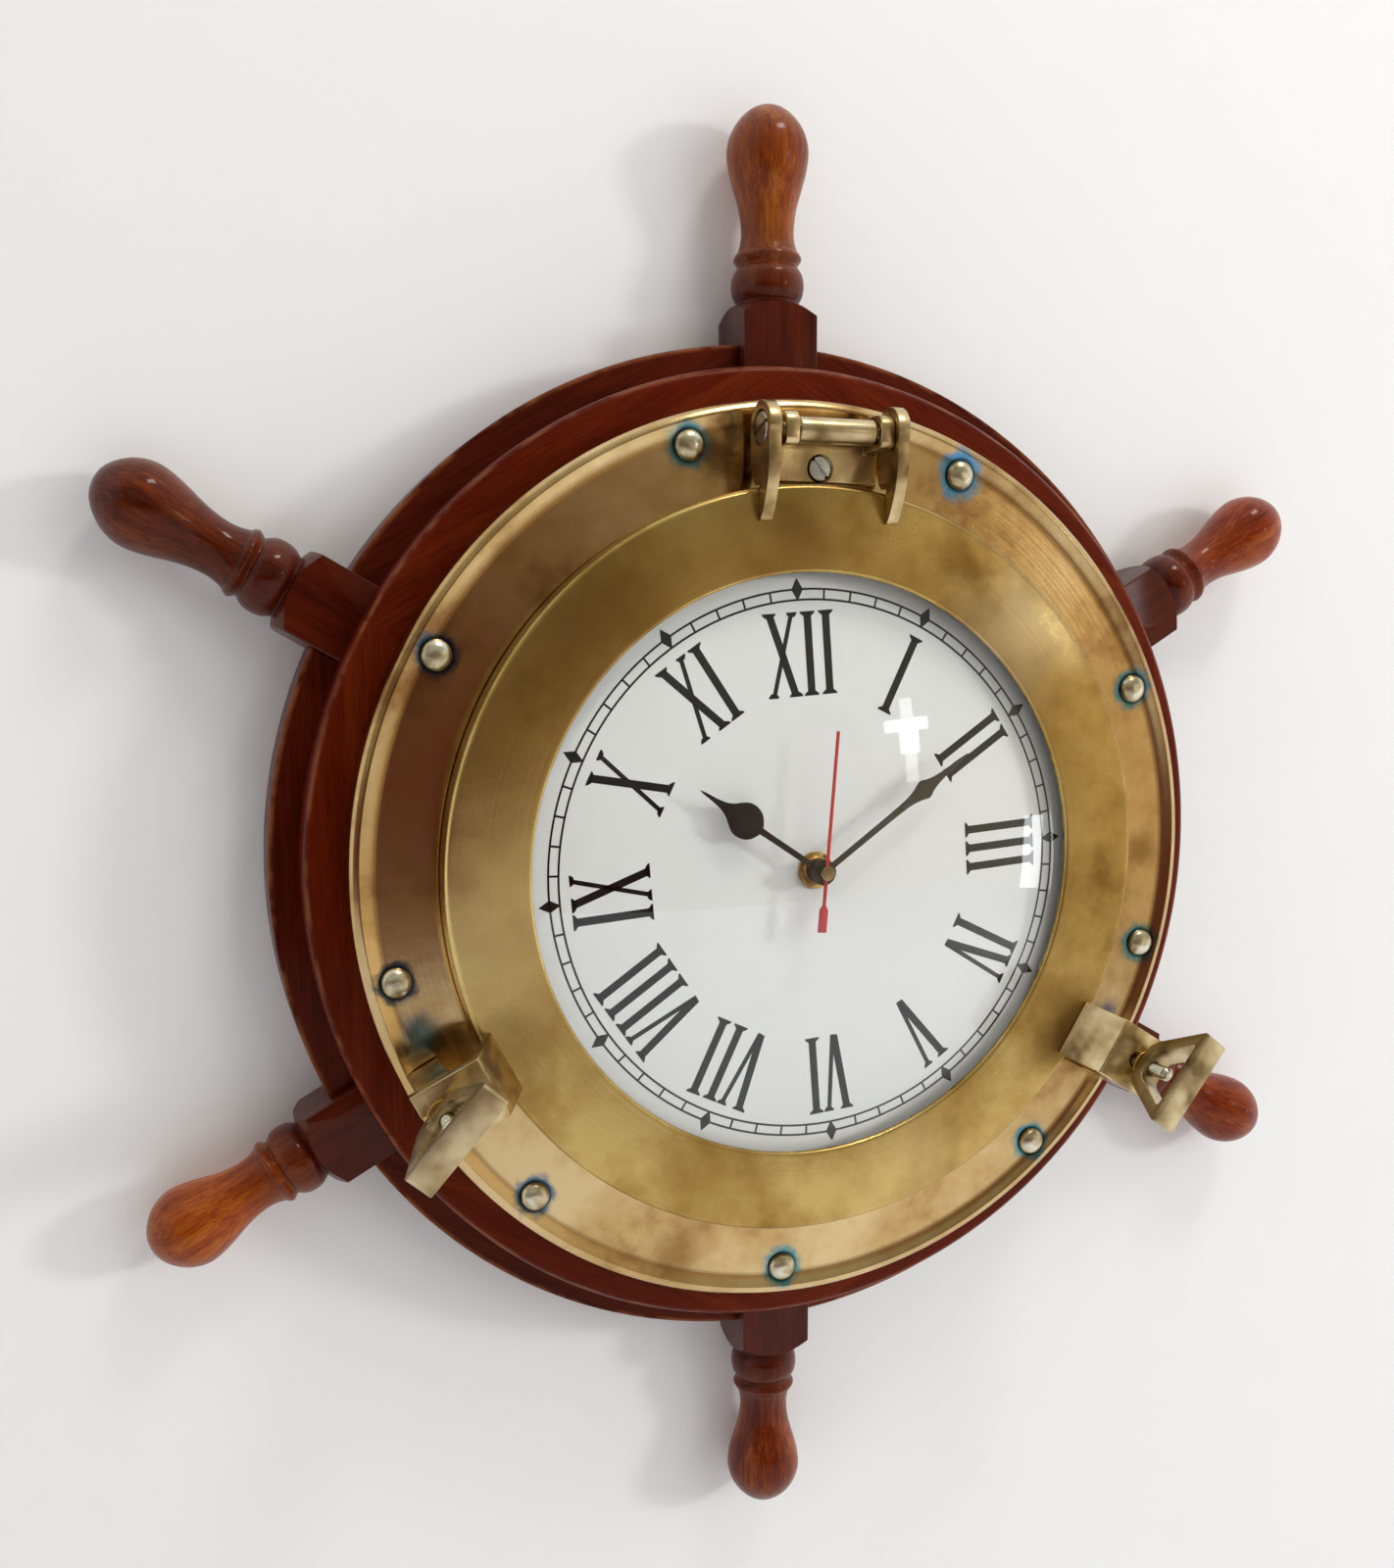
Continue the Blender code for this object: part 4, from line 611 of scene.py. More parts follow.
# light and dark patches on the door ring: degrees, distance from the centre, size, colour, strength. The
# light ones are painted reflections; the dark ones at 122 and 244 degrees, by the clamp lugs' feet, are
# painted shade, and the other dark ones are tarnish with painted shade
doorLightShadeAndTarnish = [(266, 136, 52, "#f0d692", 0.85), (316, 134, 40, "#7d5c2b", 0.55), (355, 137, 30, "#7a5a2e", 0.55),
           (44, 133, 32, "#dccaa0", 0.60), (122, 142, 20, "#7e5a2c", 0.60), (244, 142, 18, "#80602f", 0.55),
           (205, 136, 26, "#9a7838", 0.40), (160, 136, 30, "#e0c488", 0.45)]


# painted reflections and shade on the door ring, together with its tarnish
def paintDoorLightAndTarnish(tree, where, flat, colour):
    ragged = addNode(tree, "TexNoise", {"Vector": where, "Scale": 1 / 24, "Detail": 1})
    shift = addNode(tree, "MapRange", {
        0: ragged, "From Min": 0.3, "From Max": 0.7, "To Min": -7.0, "To Max": 7.0})
    return blots(tree, flat, colour, [(degrees, distance, 0.0, size * 1.25, tint, most)
                                      for degrees, distance, size, tint, most in doorLightShadeAndTarnish], shift)


def makeDoor():
    outer, back, front, sheet, lip = (door[key] for key in ("outer", "back", "front", "sheet", "lip"))
    ring = lathed("door_ring_spun", filleted([
        (outer - sheet, back, 0.6), (outer, back, 0.6), (outer, front, door["round"]), (lip, front, 2.2),
        (lip, front - sheet, 0.5), (outer - sheet, front - sheet, 1.6)], 8), 360)
    dress(ring, brassMaterial("antiquedBrassDoor", "door", 1, paintDoorLightAndTarnish), "door", ("door_ring",),
          30)
    edge, low, high = door["glassEdge"], door["glassBack"], door["glassBack"] + door["glassThick"]
    shares = [step / 24 for step in range(25)]
    dome = [(door["dome"] * share, door["rise"] * (1 - share ** 2)) for share in shares]
    outline = [(edge, low)] + [(radius, low + rise) for radius, rise in reversed(dome)]
    outline += [(radius, high + rise) for radius, rise in dome] + [(edge, high)]
    dress(lathed("glass_domed", outline, 192), glassMaterial(), "door", ("glass",))
    top = front - sheet - play
    outline = rectangle(door["gasketInner"], door["gasketOuter"], high + play, top, 0.25)
    dress(lathed("gasket_moulded", filleted(outline, 3), 192),
          paint("mouldedBlackRubber", "#141414", {"Roughness": 0.7, "IOR": 1.52}, 1.0),
          "door", ("glass_gasket",))
    inner, outer, back, sheet = (door["retainer" + key] for key in ("Inner", "Outer", "Back", "Sheet"))
    outline = [(inner, back), (outer, back, 0.6), (outer, top), (outer - sheet, top),
               (outer - sheet, back + sheet), (inner, back + sheet)]
    dress(lathed("retainer_spun", filleted(outline), 192), brassMaterial("antiquedBrassRetainer", "door", 7),
          "door", ("glass_retainer",))


# The hinge. Its axis lies along u, at v and w; footCurve runs from the end of an arm's foot.
hinge = {"u": 3.7, "v": 171.2, "w": 54.5, "armGap": 54.0, "armThick": 4.8, "armTop": 10.0, "footEnd": 137.0,
         "footCurve": [(0, 0), (0.8, 1.6), (5, 4.6), (13, 8.2), (22, 10.3)], "heel": 150.8,
         "pin": 3.0, "pinHead": 5.9, "pinHeadDeep": 2.2, "pinSlotTurn": 72, "slot": 1.5, "slotDeep": 1.1,
         "sleeve": 4.8, "sleeveLength": 31.9, "sleeveShift": 1.75,
         "knuckleSpan": 45.6, "knuckleShift": 1.5, "knuckleThick": 5.6, "knuckleSize": 13.0,
         "knuckleFront": 61.0, "knuckleBack": 43.4,
         "bracketLow": 153.0, "bracketHigh": 172.0, "bracketBack": 40.9, "bracketFront": 44.9,
         "screwV": 158.4, "screwHead": 4.7, "screwDeep": 2.7, "screwShank": 2.0, "screwLength": 16.0,
         "screwTurn": 40, "sink": 0.9}


def acrossHinge(name, outline, start):
    # turn a lathed shape so that it lies on the hinge axis
    return lathed(name, outline, 48, at(start, hinge["v"], hinge["w"]) @ lying("u"))


def makeHingeArms():
    v, w, top = hinge["v"], hinge["w"], hinge["armTop"]
    foot, base, heel = hinge["footEnd"], door["front"] + play, hinge["heel"]
    front = curved([(foot + along, base + rise) for along, rise in hinge["footCurve"]]
                   + [(v - 4, w + top - 0.8), (v, w + top)], 4)
    crown = [(v + top * math.sin(math.pi * step / 20), w + top * math.cos(math.pi * step / 20))
             for step in range(1, 21)]
    back = [(158.5, w - top), (heel + 2, w - top * 0.75), (heel, w - top * 0.55), (heel, base)]
    bore, sunk = hinge["pin"] + play, hinge["pinHead"] + hinge["sink"]
    for side, sign, seed in (("left", -1, 2), ("right", 1, 9)):
        middle = hinge["u"] + sign * hinge["armGap"] / 2
        low, high = middle - hinge["armThick"] / 2, middle + hinge["armThick"] / 2
        arm = bevelled(slab("hinge_arm_cast_" + side, front + crown + back, low, high, "u"), 0.7)
        tools = [acrossHinge("bore", rectangle(0, bore, -2, 8), low)]
        if side == "left":
            tools.append(acrossHinge("seat", rectangle(0, sunk, -2, hinge["pinHeadDeep"] + play), low))
        dress(combine(arm, tools), brassMaterial("castBrassArm_" + side, "fitting", seed), "door",
              ("hinge_arm_" + side,))


def makeHingePin():
    pin, head, deep, half = hinge["pin"], hinge["pinHead"], hinge["pinHeadDeep"], hinge["slot"] / 2
    start = hinge["u"] - hinge["armGap"] / 2 - hinge["armThick"] / 2
    length = hinge["armGap"] + hinge["armThick"] - play
    piece = acrossHinge("hinge_pin_turned", filleted([
        (0, 0), (head, 0, 0.7), (head, deep, 0.3), (pin, deep), (pin, length, 0.5), (0, length)]), start)
    place = at(0, hinge["v"], hinge["w"]) @ Matrix.Rotation(math.radians(hinge["pinSlotTurn"]), 4, "X")
    combine(piece, [slab("slot", rectangle(-9, 9, -half, half), start - 2, start + hinge["slotDeep"], "u",
                         place)])
    dress(piece, steelMaterial("turnedSteelPin", "#7c7568", "#c9c2b2", 0.26), "door", ("hinge_pin",))


def makeHingeBracket():
    inner, outer, long = hinge["pin"] + play, hinge["sleeve"], hinge["sleeveLength"]
    sleeve = acrossHinge("hinge_sleeve_turned", filleted([
        (inner, 0), (outer, 0, 0.6), (outer, long, 0.6), (inner, long)]),
        hinge["u"] + hinge["sleeveShift"] - long / 2)
    dress(sleeve, brassMaterial("turnedBrassSleeve", "nut", 14), "wheel", ("hinge_sleeve",))
    middle = hinge["u"] + hinge["knuckleShift"]
    left, right = middle - hinge["knuckleSpan"] / 2, middle + hinge["knuckleSpan"] / 2
    low, high = hinge["bracketLow"], hinge["bracketHigh"]
    outline = filleted([(left, low, 1.5), (right, low, 1.5), (right, high), (left, high)])
    bracket = slab("hinge_bracket_cast", outline, hinge["bracketBack"], hinge["bracketFront"])
    half, thick = hinge["knuckleSize"] / 2, hinge["knuckleThick"]
    low, high = hinge["v"] - half, hinge["v"] + half
    front, back = hinge["knuckleFront"], hinge["knuckleBack"]
    for start in (left, right - thick):
        ear = slab("ear", filleted([(low, front, 3.0), (high, front, 5.0), (high, back), (low, back)]),
                   start, start + thick, "u")
        combine(bracket, [ear], "UNION")
    bevelled(bracket, 0.5)
    bore = acrossHinge("bore", rectangle(0, inner, -2, 60), left - 5)
    place = at(hinge["u"], hinge["screwV"], hinge["bracketFront"])
    wide = hinge["screwHead"] + hinge["sink"]
    seat = lathed("seat", [(0, -8), (2.3, -8), (2.3, -3.4), (wide, -0.9), (wide, 3), (0, 3)], 48, place)
    dress(combine(bracket, [bore, seat]), brassMaterial("castBrassBracket", "fitting", 17), "wheel",
          ("hinge_bracket",))
    # its countersunk screw
    head, deep, shank, long = (hinge["screw" + key] for key in ("Head", "Deep", "Shank", "Length"))
    outline = filleted([(0, -long), (shank, -long), (shank, -deep), (head, -0.5, 0.2),
                        (head - 0.3, -0.05, 0.3), (0, 0)])
    place, half = place @ clockwise(-hinge["screwTurn"]), hinge["slot"] / 2
    screw = combine(lathed("hinge_bracket_screw_turned", outline, 48, place), [
        slab("slot", rectangle(-half, half, -9, 9), -hinge["slotDeep"], 2, "w", place)])
    dress(screw, steelMaterial("platedSteelScrew"), "wheel", ("hinge_bracket_screw",))


# The two clamps. foot, ridge and end are the corners of a lug's upper face, seen from its side.
clamp = {"turns": {"right": 121.3, "left": 243.0}, "nutTurns": {"right": -5.7, "left": 111.7},
         "width": 26.0, "sheet": 4.2, "foot": (146.0, 53.3), "ridge": (156.5, 71.5), "end": (185.0, 70.0),
         "slotWidth": 7.6, "slotStart": 11.0, "boltAlong": 20.5, "bolt": 3.0, "boltHigh": 16.0,
         "boltHead": 5.8, "boltHeadThick": 3.5, "washer": 7.0, "washerTop": 1.4,
         "threadFrom": 4.0, "threads": 10, "threadDeep": 0.28, "threadPitch": 1.0,
         "nutLow": 1.7, "nutBase": 9.0, "nutBar": 22.0, "nutTop": 30.0, "nutStrip": 11.0,
         "holeBase": 5.4, "holeLow": 4.6, "holeBar": 15.6, "holeTop": 25.5,
         "keeperInner": 167.8, "keeperOuter": 181.8, "keeperLow": 42.5, "keeperFloor": 2.6,
         "keeperHigh": 65.5, "keeperCheek": 3.2, "keeperWidth": 25.0}


def makeLug(side, seed, turn):
    # returns the place of the bolt, on the lug's upper face
    foot, ridge, end = (Vector(clamp[key]) for key in ("foot", "ridge", "end"))
    sheet, half, along = clamp["sheet"], clamp["width"] / 2, clamp["boltAlong"]
    rise, fall = (ridge - foot).normalized(), (end - ridge).normalized()
    underRise, underFall = Vector((rise.y, -rise.x)), Vector((fall.y, -fall.x))
    ridgeIn = ridge + (underRise + underFall) * (sheet / (1 + underRise.dot(underFall)))
    outline = filleted([tuple(foot), (*ridge, 1.3), tuple(end), tuple(end + underFall * sheet),
                        (*ridgeIn, 1.0), (foot.x + sheet / underRise.x, foot.y)], 4)
    lug = bevelled(slab("clamp_lug_folded_" + side, outline, -half, half, "u", turn), 0.45)
    slope = math.atan2(-fall.y, fall.x)
    place = turn @ at(0, ridge.x + along * math.cos(slope), ridge.y - along * math.sin(slope))
    place = place @ Matrix.Rotation(-slope, 4, "X")
    wide, start, long = clamp["slotWidth"] / 2, clamp["slotStart"] - along, (end - ridge).length - along + 3
    slot = filleted([(-wide, start, wide), (wide, start, wide), (wide, long), (-wide, long)], 8)
    combine(lug, [slab("slot", slot, -sheet - 2, 2, "w", place)])
    dress(lug, brassMaterial("foldedBrassLug_" + side, "fitting", seed), "door", ("clamp_lug_" + side,))
    return place


def makeBolt(side, seed, place):
    bolt, high, head, low = clamp["bolt"], clamp["boltHigh"], clamp["boltHead"], -clamp["sheet"] - play
    foot = low - clamp["boltHeadThick"]
    outline = [(0, foot), (head, foot, 0.6), (head, low, 0.3), (bolt, low)]
    start, deep, pitch = clamp["threadFrom"], clamp["threadDeep"], clamp["threadPitch"]
    outline += [(bolt - deep * (step % 2), start + pitch / 2 * step)
                for step in range(clamp["threads"] * 2 + 1)]
    outline += [(bolt, high - 1.3), (bolt - 1.2, high, 0.4), (0, high)]
    dress(lathed("dog_stud_threaded_" + side, filleted(outline, 3), 40, place),
          steelMaterial("platedSteelBolt_" + side, "#8f8468", "#d9d2ba", 0.26), "door",
          ("dog_stud_" + side,))
    inner, outer, top = bolt + play, clamp["washer"], clamp["washerTop"]
    outline = filleted([(inner, play), (outer, play, 0.3), (outer, top, 0.4), (inner, top)])
    dress(lathed("dog_washer_pressed_" + side, outline, 48, place),
          brassMaterial("pressedBrassWasher_" + side, "bright", seed + 3), side + "_washer",
          ("dog_washer_" + side,))


def makeNut(side, seed, place):
    # a three-sided loop cut from a strip, which stands on the washer
    base, bar, top, low = clamp["nutBase"], clamp["nutBar"], clamp["nutTop"], clamp["nutLow"]
    outer = filleted([(-base, low, 8.5), (base, low, 8.5), (bar, top - 3.2, 2.6), (bar - 0.6, top, 2.0),
                      (-bar + 0.6, top, 2.0), (-bar, top - 3.2, 2.6)], 8)
    base, bar, top, start = clamp["holeBase"], clamp["holeBar"], clamp["holeTop"], low + clamp["holeLow"]
    hole = filleted([(-base, start, 5.0), (base, start, 5.0), (bar, top, 0.9), (-bar, top, 0.9)], 8)
    stand = (place @ Matrix.Rotation(math.radians(clamp["nutTurns"][side]), 4, "Z")
             @ Matrix.Rotation(math.radians(90), 4, "X"))
    half = clamp["nutStrip"] / 2
    nut = combine(slab("dog_nut_cast_" + side, outer, -half, half, "w", stand), [
        slab("inside", hole, -half - 2, half + 2, "w", stand),
        lathed("thread", rectangle(0, clamp["bolt"] + play, 0, 9), 32, place)])
    dress(bevelled(nut, 0.6), brassMaterial("castBrassNut_" + side, "nut", seed + 5), side + "_nut",
          ("dog_nut_" + side,))


def makeKeeper(side, seed, turn):
    half, low, high = clamp["keeperWidth"] / 2, clamp["keeperLow"], clamp["keeperHigh"]
    wide, floor = half - clamp["keeperCheek"], low + clamp["keeperFloor"]
    outline = filleted([(-half, low), (half, low), (half, high, 2.0), (wide, high, 1.2), (wide, floor, 5.5),
                        (-wide, floor, 5.5), (-wide, high, 1.2), (-half, high, 2.0)], 6)
    keeper = slab("clamp_keeper_cast_" + side, outline, clamp["keeperInner"], clamp["keeperOuter"], "v", turn)
    dress(bevelled(keeper, 0.45), brassMaterial("castBrassKeeper_" + side, "fitting", seed + 8), "wheel",
          ("clamp_keeper_" + side,))


def makeClamp(side, seed):
    turn = clockwise(clamp["turns"][side])
    place = makeLug(side, seed, turn)
    makeBolt(side, seed, place)
    makeNut(side, seed, place)
    makeKeeper(side, seed, turn)


# The dial: a white printed sheet with a minute track, diamonds and plain serif roman numerals
dial = {"u": 2.7, "v": -0.4, "turn": -4.37, "radius": 131.0, "back": 41.5, "thick": 2.4, "hole": 4.2,
        "diamonds": 112.7, "diamondHigh": 9.2, "diamondWide": 5.0, "innerTrack": 108.6, "line": 0.85,
        "numeralLow": 70.8, "numeralHigh": 104.0, "thickStroke": 3.3, "thinStroke": 1.9, "serif": 1.0,
        "thickSerif": 6.0, "thinSerif": 4.6, "straightSerif": 6.6, "ink": 0.05}
numerals = ["XII", "I", "II", "III", "IV", "V", "VI", "VII", "VIII", "IX", "X", "XI"]
letterWidth = {"I": 8.0, "V": 12.4, "X": 15.4}


def stroke(bm, start, end, width, level):
    # a slanted stroke whose ends are cut level
    half = width / 2
    (x0, y0), (x1, y1) = start, end
    extruded(bm, [(x0 - half, y0), (x0 + half, y0), (x1 + half, y1), (x1 - half, y1)], *level)


def serif(bm, x, y, width, level, up):
    # a thin bar with sloping shoulders into the stroke
    half, high = width / 2, dial["serif"]
    rise = -high if up else high
    extruded(bm, [(x - half, y), (x + half, y), (x + half * 0.94, y + rise * 0.75),
                  (x + half * 0.5, y + rise * 1.9), (x - half * 0.5, y + rise * 1.9),
                  (x - half * 0.94, y + rise * 0.75)], *level)


def letter(bm, kind, x, level):
    low, high, thick, thin = (dial[key] for key in ("numeralLow", "numeralHigh", "thickStroke", "thinStroke"))
    broad, narrow, straight = dial["thickSerif"], dial["thinSerif"], dial["straightSerif"]
    if kind == "I":
        strokes = [((x, low), (x, high), thick)]
        serifs = [(x, low, straight, False), (x, high, straight, True)]
    elif kind == "X":
        left, right = x - 4.9, x + 4.9
        strokes = [((right, low), (left, high), thick), ((left, low), (right, high), thin)]
        serifs = [(right, low, broad, False), (left, high, broad, True), (left, low, narrow, False),
                  (right, high, narrow, True)]
    else:
        left, right = x - 4.0, x + 4.4
        strokes = [((x + 0.2, low + 0.2), (left, high), thick), ((x + 0.8, low), (right, high), thin)]
        serifs = [(left, high, broad, True), (right, high, narrow, True)]
    for start, end, width in strokes:
        stroke(bm, start, end, width, level)
    for place, y, width, up in serifs:
        serif(bm, place, y, width, level, up)


def makeDial():
    place = at(dial["u"], dial["v"], dial["back"]) @ clockwise(dial["turn"])
    thick, hole, radius = dial["thick"], dial["hole"], dial["radius"]
    plate = lathed("dial_plate_printed", filleted([
        (hole, 0), (radius, 0), (radius, thick, 0.3), (hole, thick, 0.1)]), 192, place)
    dress(plate, paint("satinPrintedDialSheet", "#f3f5f4", {"Roughness": 0.45, "IOR": 1.5}, 2.0, 0.03, 0.02),
          "wheel", ("dial_plate",))
    ink = bmesh.new()
    level = (thick - 0.02, thick + dial["ink"])
    line, outer, inner = dial["line"] / 2, dial["diamonds"], dial["innerTrack"]
    tall, wide = dial["diamondHigh"] / 2, dial["diamondWide"] / 2
    for radius in (outer, inner):
        turned(ink, rectangle(radius - line, radius + line, *level), 240)
    for minute in range(60):
        mark = bmesh.new()
        if minute % 5:
            extruded(mark, rectangle(-line, line, inner, outer), *level)
        else:
            extruded(mark, [(0, outer - tall), (wide, outer), (0, outer + tall), (-wide, outer)], *level)
            word = numerals[minute // 5]
            x = -sum(letterWidth[kind] for kind in word) / 2
            for kind in word:
                letter(mark, kind, x + letterWidth[kind] / 2, level)
                x += letterWidth[kind]
        bmesh.ops.rotate(mark, verts=mark.verts, matrix=Matrix.Rotation(math.radians(-6 * minute), 3, "Z"))
        spare = bpy.data.meshes.new("mark")
        mark.to_mesh(spare)
        mark.free()
        ink.from_mesh(spare)
        bpy.data.meshes.remove(spare)
    black = {"Roughness": 0.5, "IOR": 1.5, "Specular IOR Level": 0.2}
    dress(makePiece("dial_printed_track_and_numerals", ink, place),
          paint("satinPrintingInkBlack", "#080909", black, 2.0, 0.0, 0.2), "wheel", ())


# The hands, drawn as (distance from the arbor, half width), and what holds them. place is w and degrees,
# and tube is the bore, the outer radius and the depth of what a hand sits on.
hands = {"hub": 5.2, "sheet": 0.6,
         "hour": [(4.9, 1.3), (18, 1.25), (31.0, 1.35), (32.4, 2.3), (34.2, 4.9), (36.6, 6.6), (39.6, 7.3),
                  (42.6, 6.9), (45.4, 5.2), (48.0, 3.2), (51.5, 1.75), (56.0, 0.95), (60.5, 0.55),
                  (63.0, 0.1)],
         "minute": [(4.9, 1.25), (30, 1.3), (44.0, 1.55), (48.5, 2.0), (52.0, 2.9), (55.6, 4.1), (59.0, 2.7),
                    (62.5, 1.8), (68.0, 1.15), (75.0, 0.8), (80.0, 0.2)],
         "second": [(-24.3, 1.9), (-15.0, 1.9), (-13.0, 0.7), (56.8, 0.65), (57.0, 0.6)],
         "place": {"hour": (50.6, 303.6), "minute": (52.8, 54.6), "second": (55.2, 4.6)},
         "tube": {"hour": (2.9, 4.6, 1.6), "minute": (1.9, 3.6, 1.3)}, "tubeTop": 0.8,
         "cap": 2.9, "capFront": 57.6, "nut": 7.7, "nutInner": 4.0, "nutFront": 47.0}


def sheetHand(kind, points):
    w, turn = hands["place"][kind]
    line = [(half, distance) for distance, half in points]
    line += [(-half, distance) for distance, half in reversed(points)]
    place = at(dial["u"], dial["v"], w) @ clockwise(turn)
    return slab(kind + "_hand_pressed", line, 0, hands["sheet"], "w", place), place


def makeHands():
    black = paint("glossBlackStovedEnamel", "#0b0c0b", {
        "Roughness": 0.22, "IOR": 1.5, "Coat Weight": 0.3, "Coat Roughness": 0.1}, 2.0, 0.03)
    red = paint("satinRedEnamel", "#c11220", {"Roughness": 0.35, "IOR": 1.5}, 2.0, 0.03)
    for kind in ("hour", "minute"):
        piece, place = sheetHand(kind, curved(hands[kind], 4))
        (bore, outer, drop), top = hands["tube"][kind], hands["tubeTop"]
        outline = filleted([(0, -drop), (outer, -drop, 0.2), (outer, top, 0.3), (0, top)])
        combine(piece, [lathed("hub", rectangle(0, hands["hub"], 0, hands["sheet"]), 48, place),
                        lathed("collar", outline, 48, place)], "UNION")
        combine(piece, [lathed("bore", rectangle(0, bore, -4, 4), 32, place)])
        dress(bevelled(piece, 0.12, 2), black, kind + "s", (kind + "_hand",))
    piece, place = sheetHand("second", hands["second"])
    dress(bevelled(piece, 0.1, 2), red, "seconds", ("second_hand",))
    cap, front = hands["cap"], hands["capFront"] - hands["place"]["second"][0]
    outline = filleted([(0, 0.25), (cap, 0.25, 0.2), (cap, front, 0.5), (0, front)])
    dress(lathed("second_hand_cap_turned", outline, 48, place),
          brassMaterial("turnedBrassCap", "fitting", 21), "seconds", ())
    low, front = dial["back"] + dial["thick"] + play, hands["nutFront"]
    inner, outer = hands["nutInner"], hands["nut"]
    outline = filleted([(inner, low), (outer, low, 0.2), (outer, low + 1.0, 0.3), (6.0, low + 1.3, 0.3),
                        (5.6, front, 0.5), (inner, front)])
    dress(lathed("movement_nut_turned", outline, 72, at(dial["u"], dial["v"], 0)),
          brassMaterial("lacqueredBrassNut", "bright", 23), "wheel", ("movement_nut",))


# Pieces that keep their CAD shape
def dressNodes():
    steel = steelMaterial("zincPlatedSteelPlate", "#7d8082", "#b9bdc0", 0.34)
    black = paint("mouldedBlackAbs", "#17181a", {"Roughness": 0.5, "IOR": 1.53}, 0.9, 0.25)
    nylon = paint("mouldedNylonGear", "#dcdcd2", {
        "Roughness": 0.42, "IOR": 1.53, "Subsurface Weight": 0.1}, 1.2, 0.05)
    board = paint("greenSolderMask", "#14512a", {"Roughness": 0.35, "IOR": 1.5}, 1.5, 0.1)
    # the coil's wire is 0.7 mm apart here, coarser than real, to show
    copper, tree, shader = newMaterial("enamelledCopperWinding", {"Metallic": 1.0, "Roughness": 0.35})
    wire = addNode(tree, "TexWave", {"Vector": inMillimetres(tree), "Scale": 1 / 0.7, "Distortion": 0.2})
    feed(tree, shader, addNode(tree, "ValToRGB", {0: wire, "stops": [(0.2, "#5b2411"), (0.7, "#c4713f")]}))
    # the cell's sleeve is dark for most of its length and copper at one end
    sleeve, tree, shader = newMaterial("printedCellSleeve", {"Roughness": 0.3, "IOR": 1.5, "Metallic": 0.4})
    across = addNode(tree, "SeparateXYZ", {0: inMillimetres(tree)})
    share = addNode(tree, "MapRange", {0: across, "From Min": -20.8, "From Max": 26.2})
    feed(tree, shader, addNode(tree, "ValToRGB", {0: share, "stops": [
        (0.0, "#20242e"), (0.70, "#20242e"), (0.72, "#b9863c"), (0.98, "#b9863c")]}))
    looks = [(steel, ("hanger_plate", "hanger_screw_1", "hanger_screw_2", "battery_cradle", "rotor")),
             (black, ("movement_case", "movement_cover", "set_knob")), (copper, ("coil",)),
             (board, ("circuit_board",)), (sleeve, ("battery",)),
             (nylon, ("second_wheel", "third_wheel", "centre_wheel", "minute_wheel", "hour_wheel",
                      "step_wheel"))]
    for material, names in looks:
        for name in names:
            for place in nodes[name].material_slots:
                place.material = material


# The stage: a pale wall that is clear from behind, a pale floor, soft lamps. Places in metres.
stage = {"wall": "#eff0f2", "floor": "#e6e5e4", "wallGap": 0.0012, "floorDrop": 1.25, "far": 6.0}
# The key lamp throws the shadows and the others are what gloss and metal show.
# Each has its name, place, size, power in watts, colour and whether gloss shows it.
lamps = [
    ("key", (4.50, -2.97, 0.67), (0.65, 0.65), 78.0, "#fffdf8", False),
    ("fill", (2.20, -2.80, 0.90), (2.4, 2.4), 26.0, "#fbfcff", False),
    ("ceiling", (0.50, -0.85, 1.45), (0.5, 0.30), 8.0, "#fffaf2", True),
    ("windowStrip", (1.85, -1.19, -0.42), (0.12, 0.32), 0.6, "#f4f8ff", True),
    ("glintTall", (1.33, -1.73, 0.15), (0.07, 0.40), 0.30, "#ffffff", True),
    ("glintWide", (1.30, -1.71, 0.22), (0.26, 0.06), 0.22, "#ffffff", True),
    ("glint", (1.35, -1.76, 0.15), (0.12, 0.12), 0.22, "#ffffff", True),
    ("behind", (0.5, 1.3, 0.7), (1.2, 1.2), 7.0, "#ffffff", True),
]
# the room by direction: front is what faces the clock, seen is what the camera sees past the wall, and
# the sides are right, below, above and what the edges of the brass catch: colour, axis, where along the
# axis it begins and where it is full
room = {"front": "#5c2a1e", "seen": "#ebebed", "sides": [
    ("#e6d3b0", 0, 0.20, 0.62), ("#e4d5b6", 2, -0.12, -0.50), ("#a8a797", 2, -0.06, 0.30),
    ("#f8faff", 1, -0.72, -0.30)]}


def stagePlane(name, corners, colour, clear):
    mesh = bpy.data.meshes.new(name)
    mesh.from_pydata(corners, [], [(0, 1, 2, 3)])
    plane = bpy.data.objects.new(name, mesh)
    bpy.context.scene.collection.objects.link(plane)
    material = paint(name + "Paint", colour, {"Roughness": 0.8, "Specular IOR Level": 0.2}, 60, 0, 0.03)
    if clear:
        # the wall is clear to lamps and soft light, and from its back
        tree = material.node_tree
        path = addNode(tree, "LightPath", {}).outputs
        unseen = addNode(tree, "Math", {
            "operation": "MAXIMUM", 0: path["Is Shadow Ray"], 1: path["Is Diffuse Ray"]})
        unseen = addNode(tree, "Math", {
            "operation": "MAXIMUM", 0: unseen, 1: addNode(tree, "NewGeometry", {}).outputs["Backfacing"]})
        seeThrough(tree, tree.nodes["Principled BSDF"], unseen, "#ffffff")
    mesh.materials.append(material)


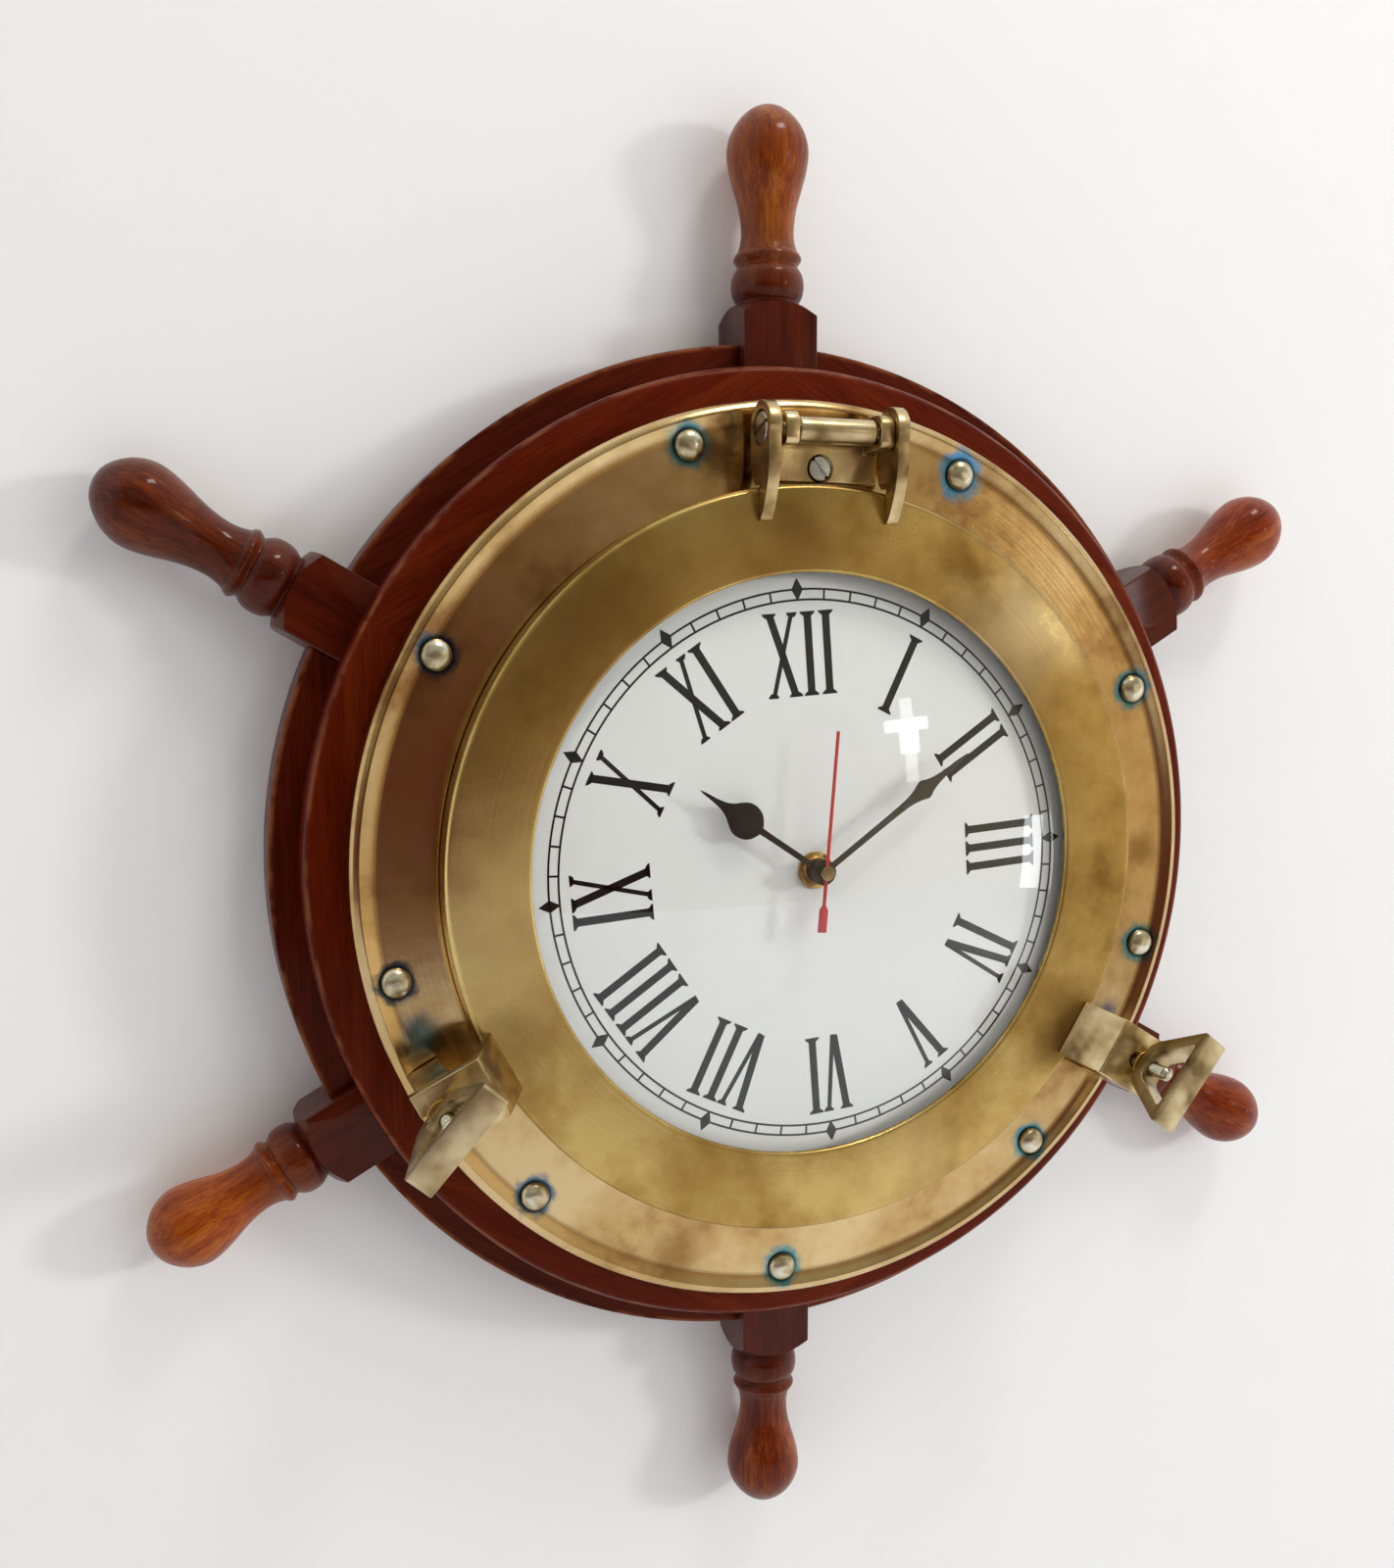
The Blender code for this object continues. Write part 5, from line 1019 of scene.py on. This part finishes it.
def addRoom():
    world = bpy.data.worlds.new("paleRoom")
    bpy.context.scene.world = world
    world.use_nodes = True
    tree = world.node_tree
    parts = addNode(tree, "SeparateXYZ", {0: addNode(tree, "TexCoord", {}).outputs["Generated"]})
    colour = room["front"]
    for tint, axis, start, end in room["sides"]:
        share = addNode(tree, "MapRange", {
            0: parts.outputs[axis], "interpolation_type": "SMOOTHSTEP", "From Min": start, "From Max": end})
        colour = addNode(tree, "Mix", {0: share, 6: colour, 7: tint})
    path = addNode(tree, "LightPath", {})
    colour = addNode(tree, "Mix", {
        0: path.outputs["Is Camera Ray"], 6: colour, 7: room["seen"]})
    tree.links.new(result(colour), tree.nodes["Background"].inputs["Color"])


def addStage():
    gap, far, drop = stage["wallGap"], stage["far"], wheelCentre.z - stage["floorDrop"]
    stagePlane("backdropWall", [(-far, gap, drop), (far, gap, drop), (far, gap, far), (-far, gap, far)],
               stage["wall"], True)
    stagePlane("floor", [(-far, -far, drop), (far, -far, drop), (far, far, drop), (-far, far, drop)],
               stage["floor"], False)
    for name, place, size, power, colour, gloss in lamps:
        data = bpy.data.lights.new(name, "AREA")
        data.shape = "RECTANGLE"
        data.size, data.size_y = size
        data.energy = power
        data.color = toLinear(colour)[:3]
        lamp = bpy.data.objects.new(name, data)
        bpy.context.scene.collection.objects.link(lamp)
        lamp.visible_glossy = gloss
        lamp.visible_transmission = gloss
        aim = wheelCentre - Vector(place)
        lamp.matrix_world = Matrix.Translation(place) @ aim.to_track_quat("-Z", "Y").to_matrix().to_4x4()
    addRoom()


bpy.context.scene.view_settings.view_transform = "Standard"
addCamera()
addStage()
print("camera, stage and lamps placed")
makeRings()
for index in range(len(wheel["turns"])):
    makeSpoke(index)
print("wooden wheel made")
makeFlange()
makeRivets()
makeDoor()
makeHingeArms()
makeHingePin()
makeHingeBracket()
for side, seed in (("left", 30), ("right", 45)):
    makeClamp(side, seed)
print("brasswork made")
makeDial()
makeHands()
dressNodes()
print("dial, hands and movement made")
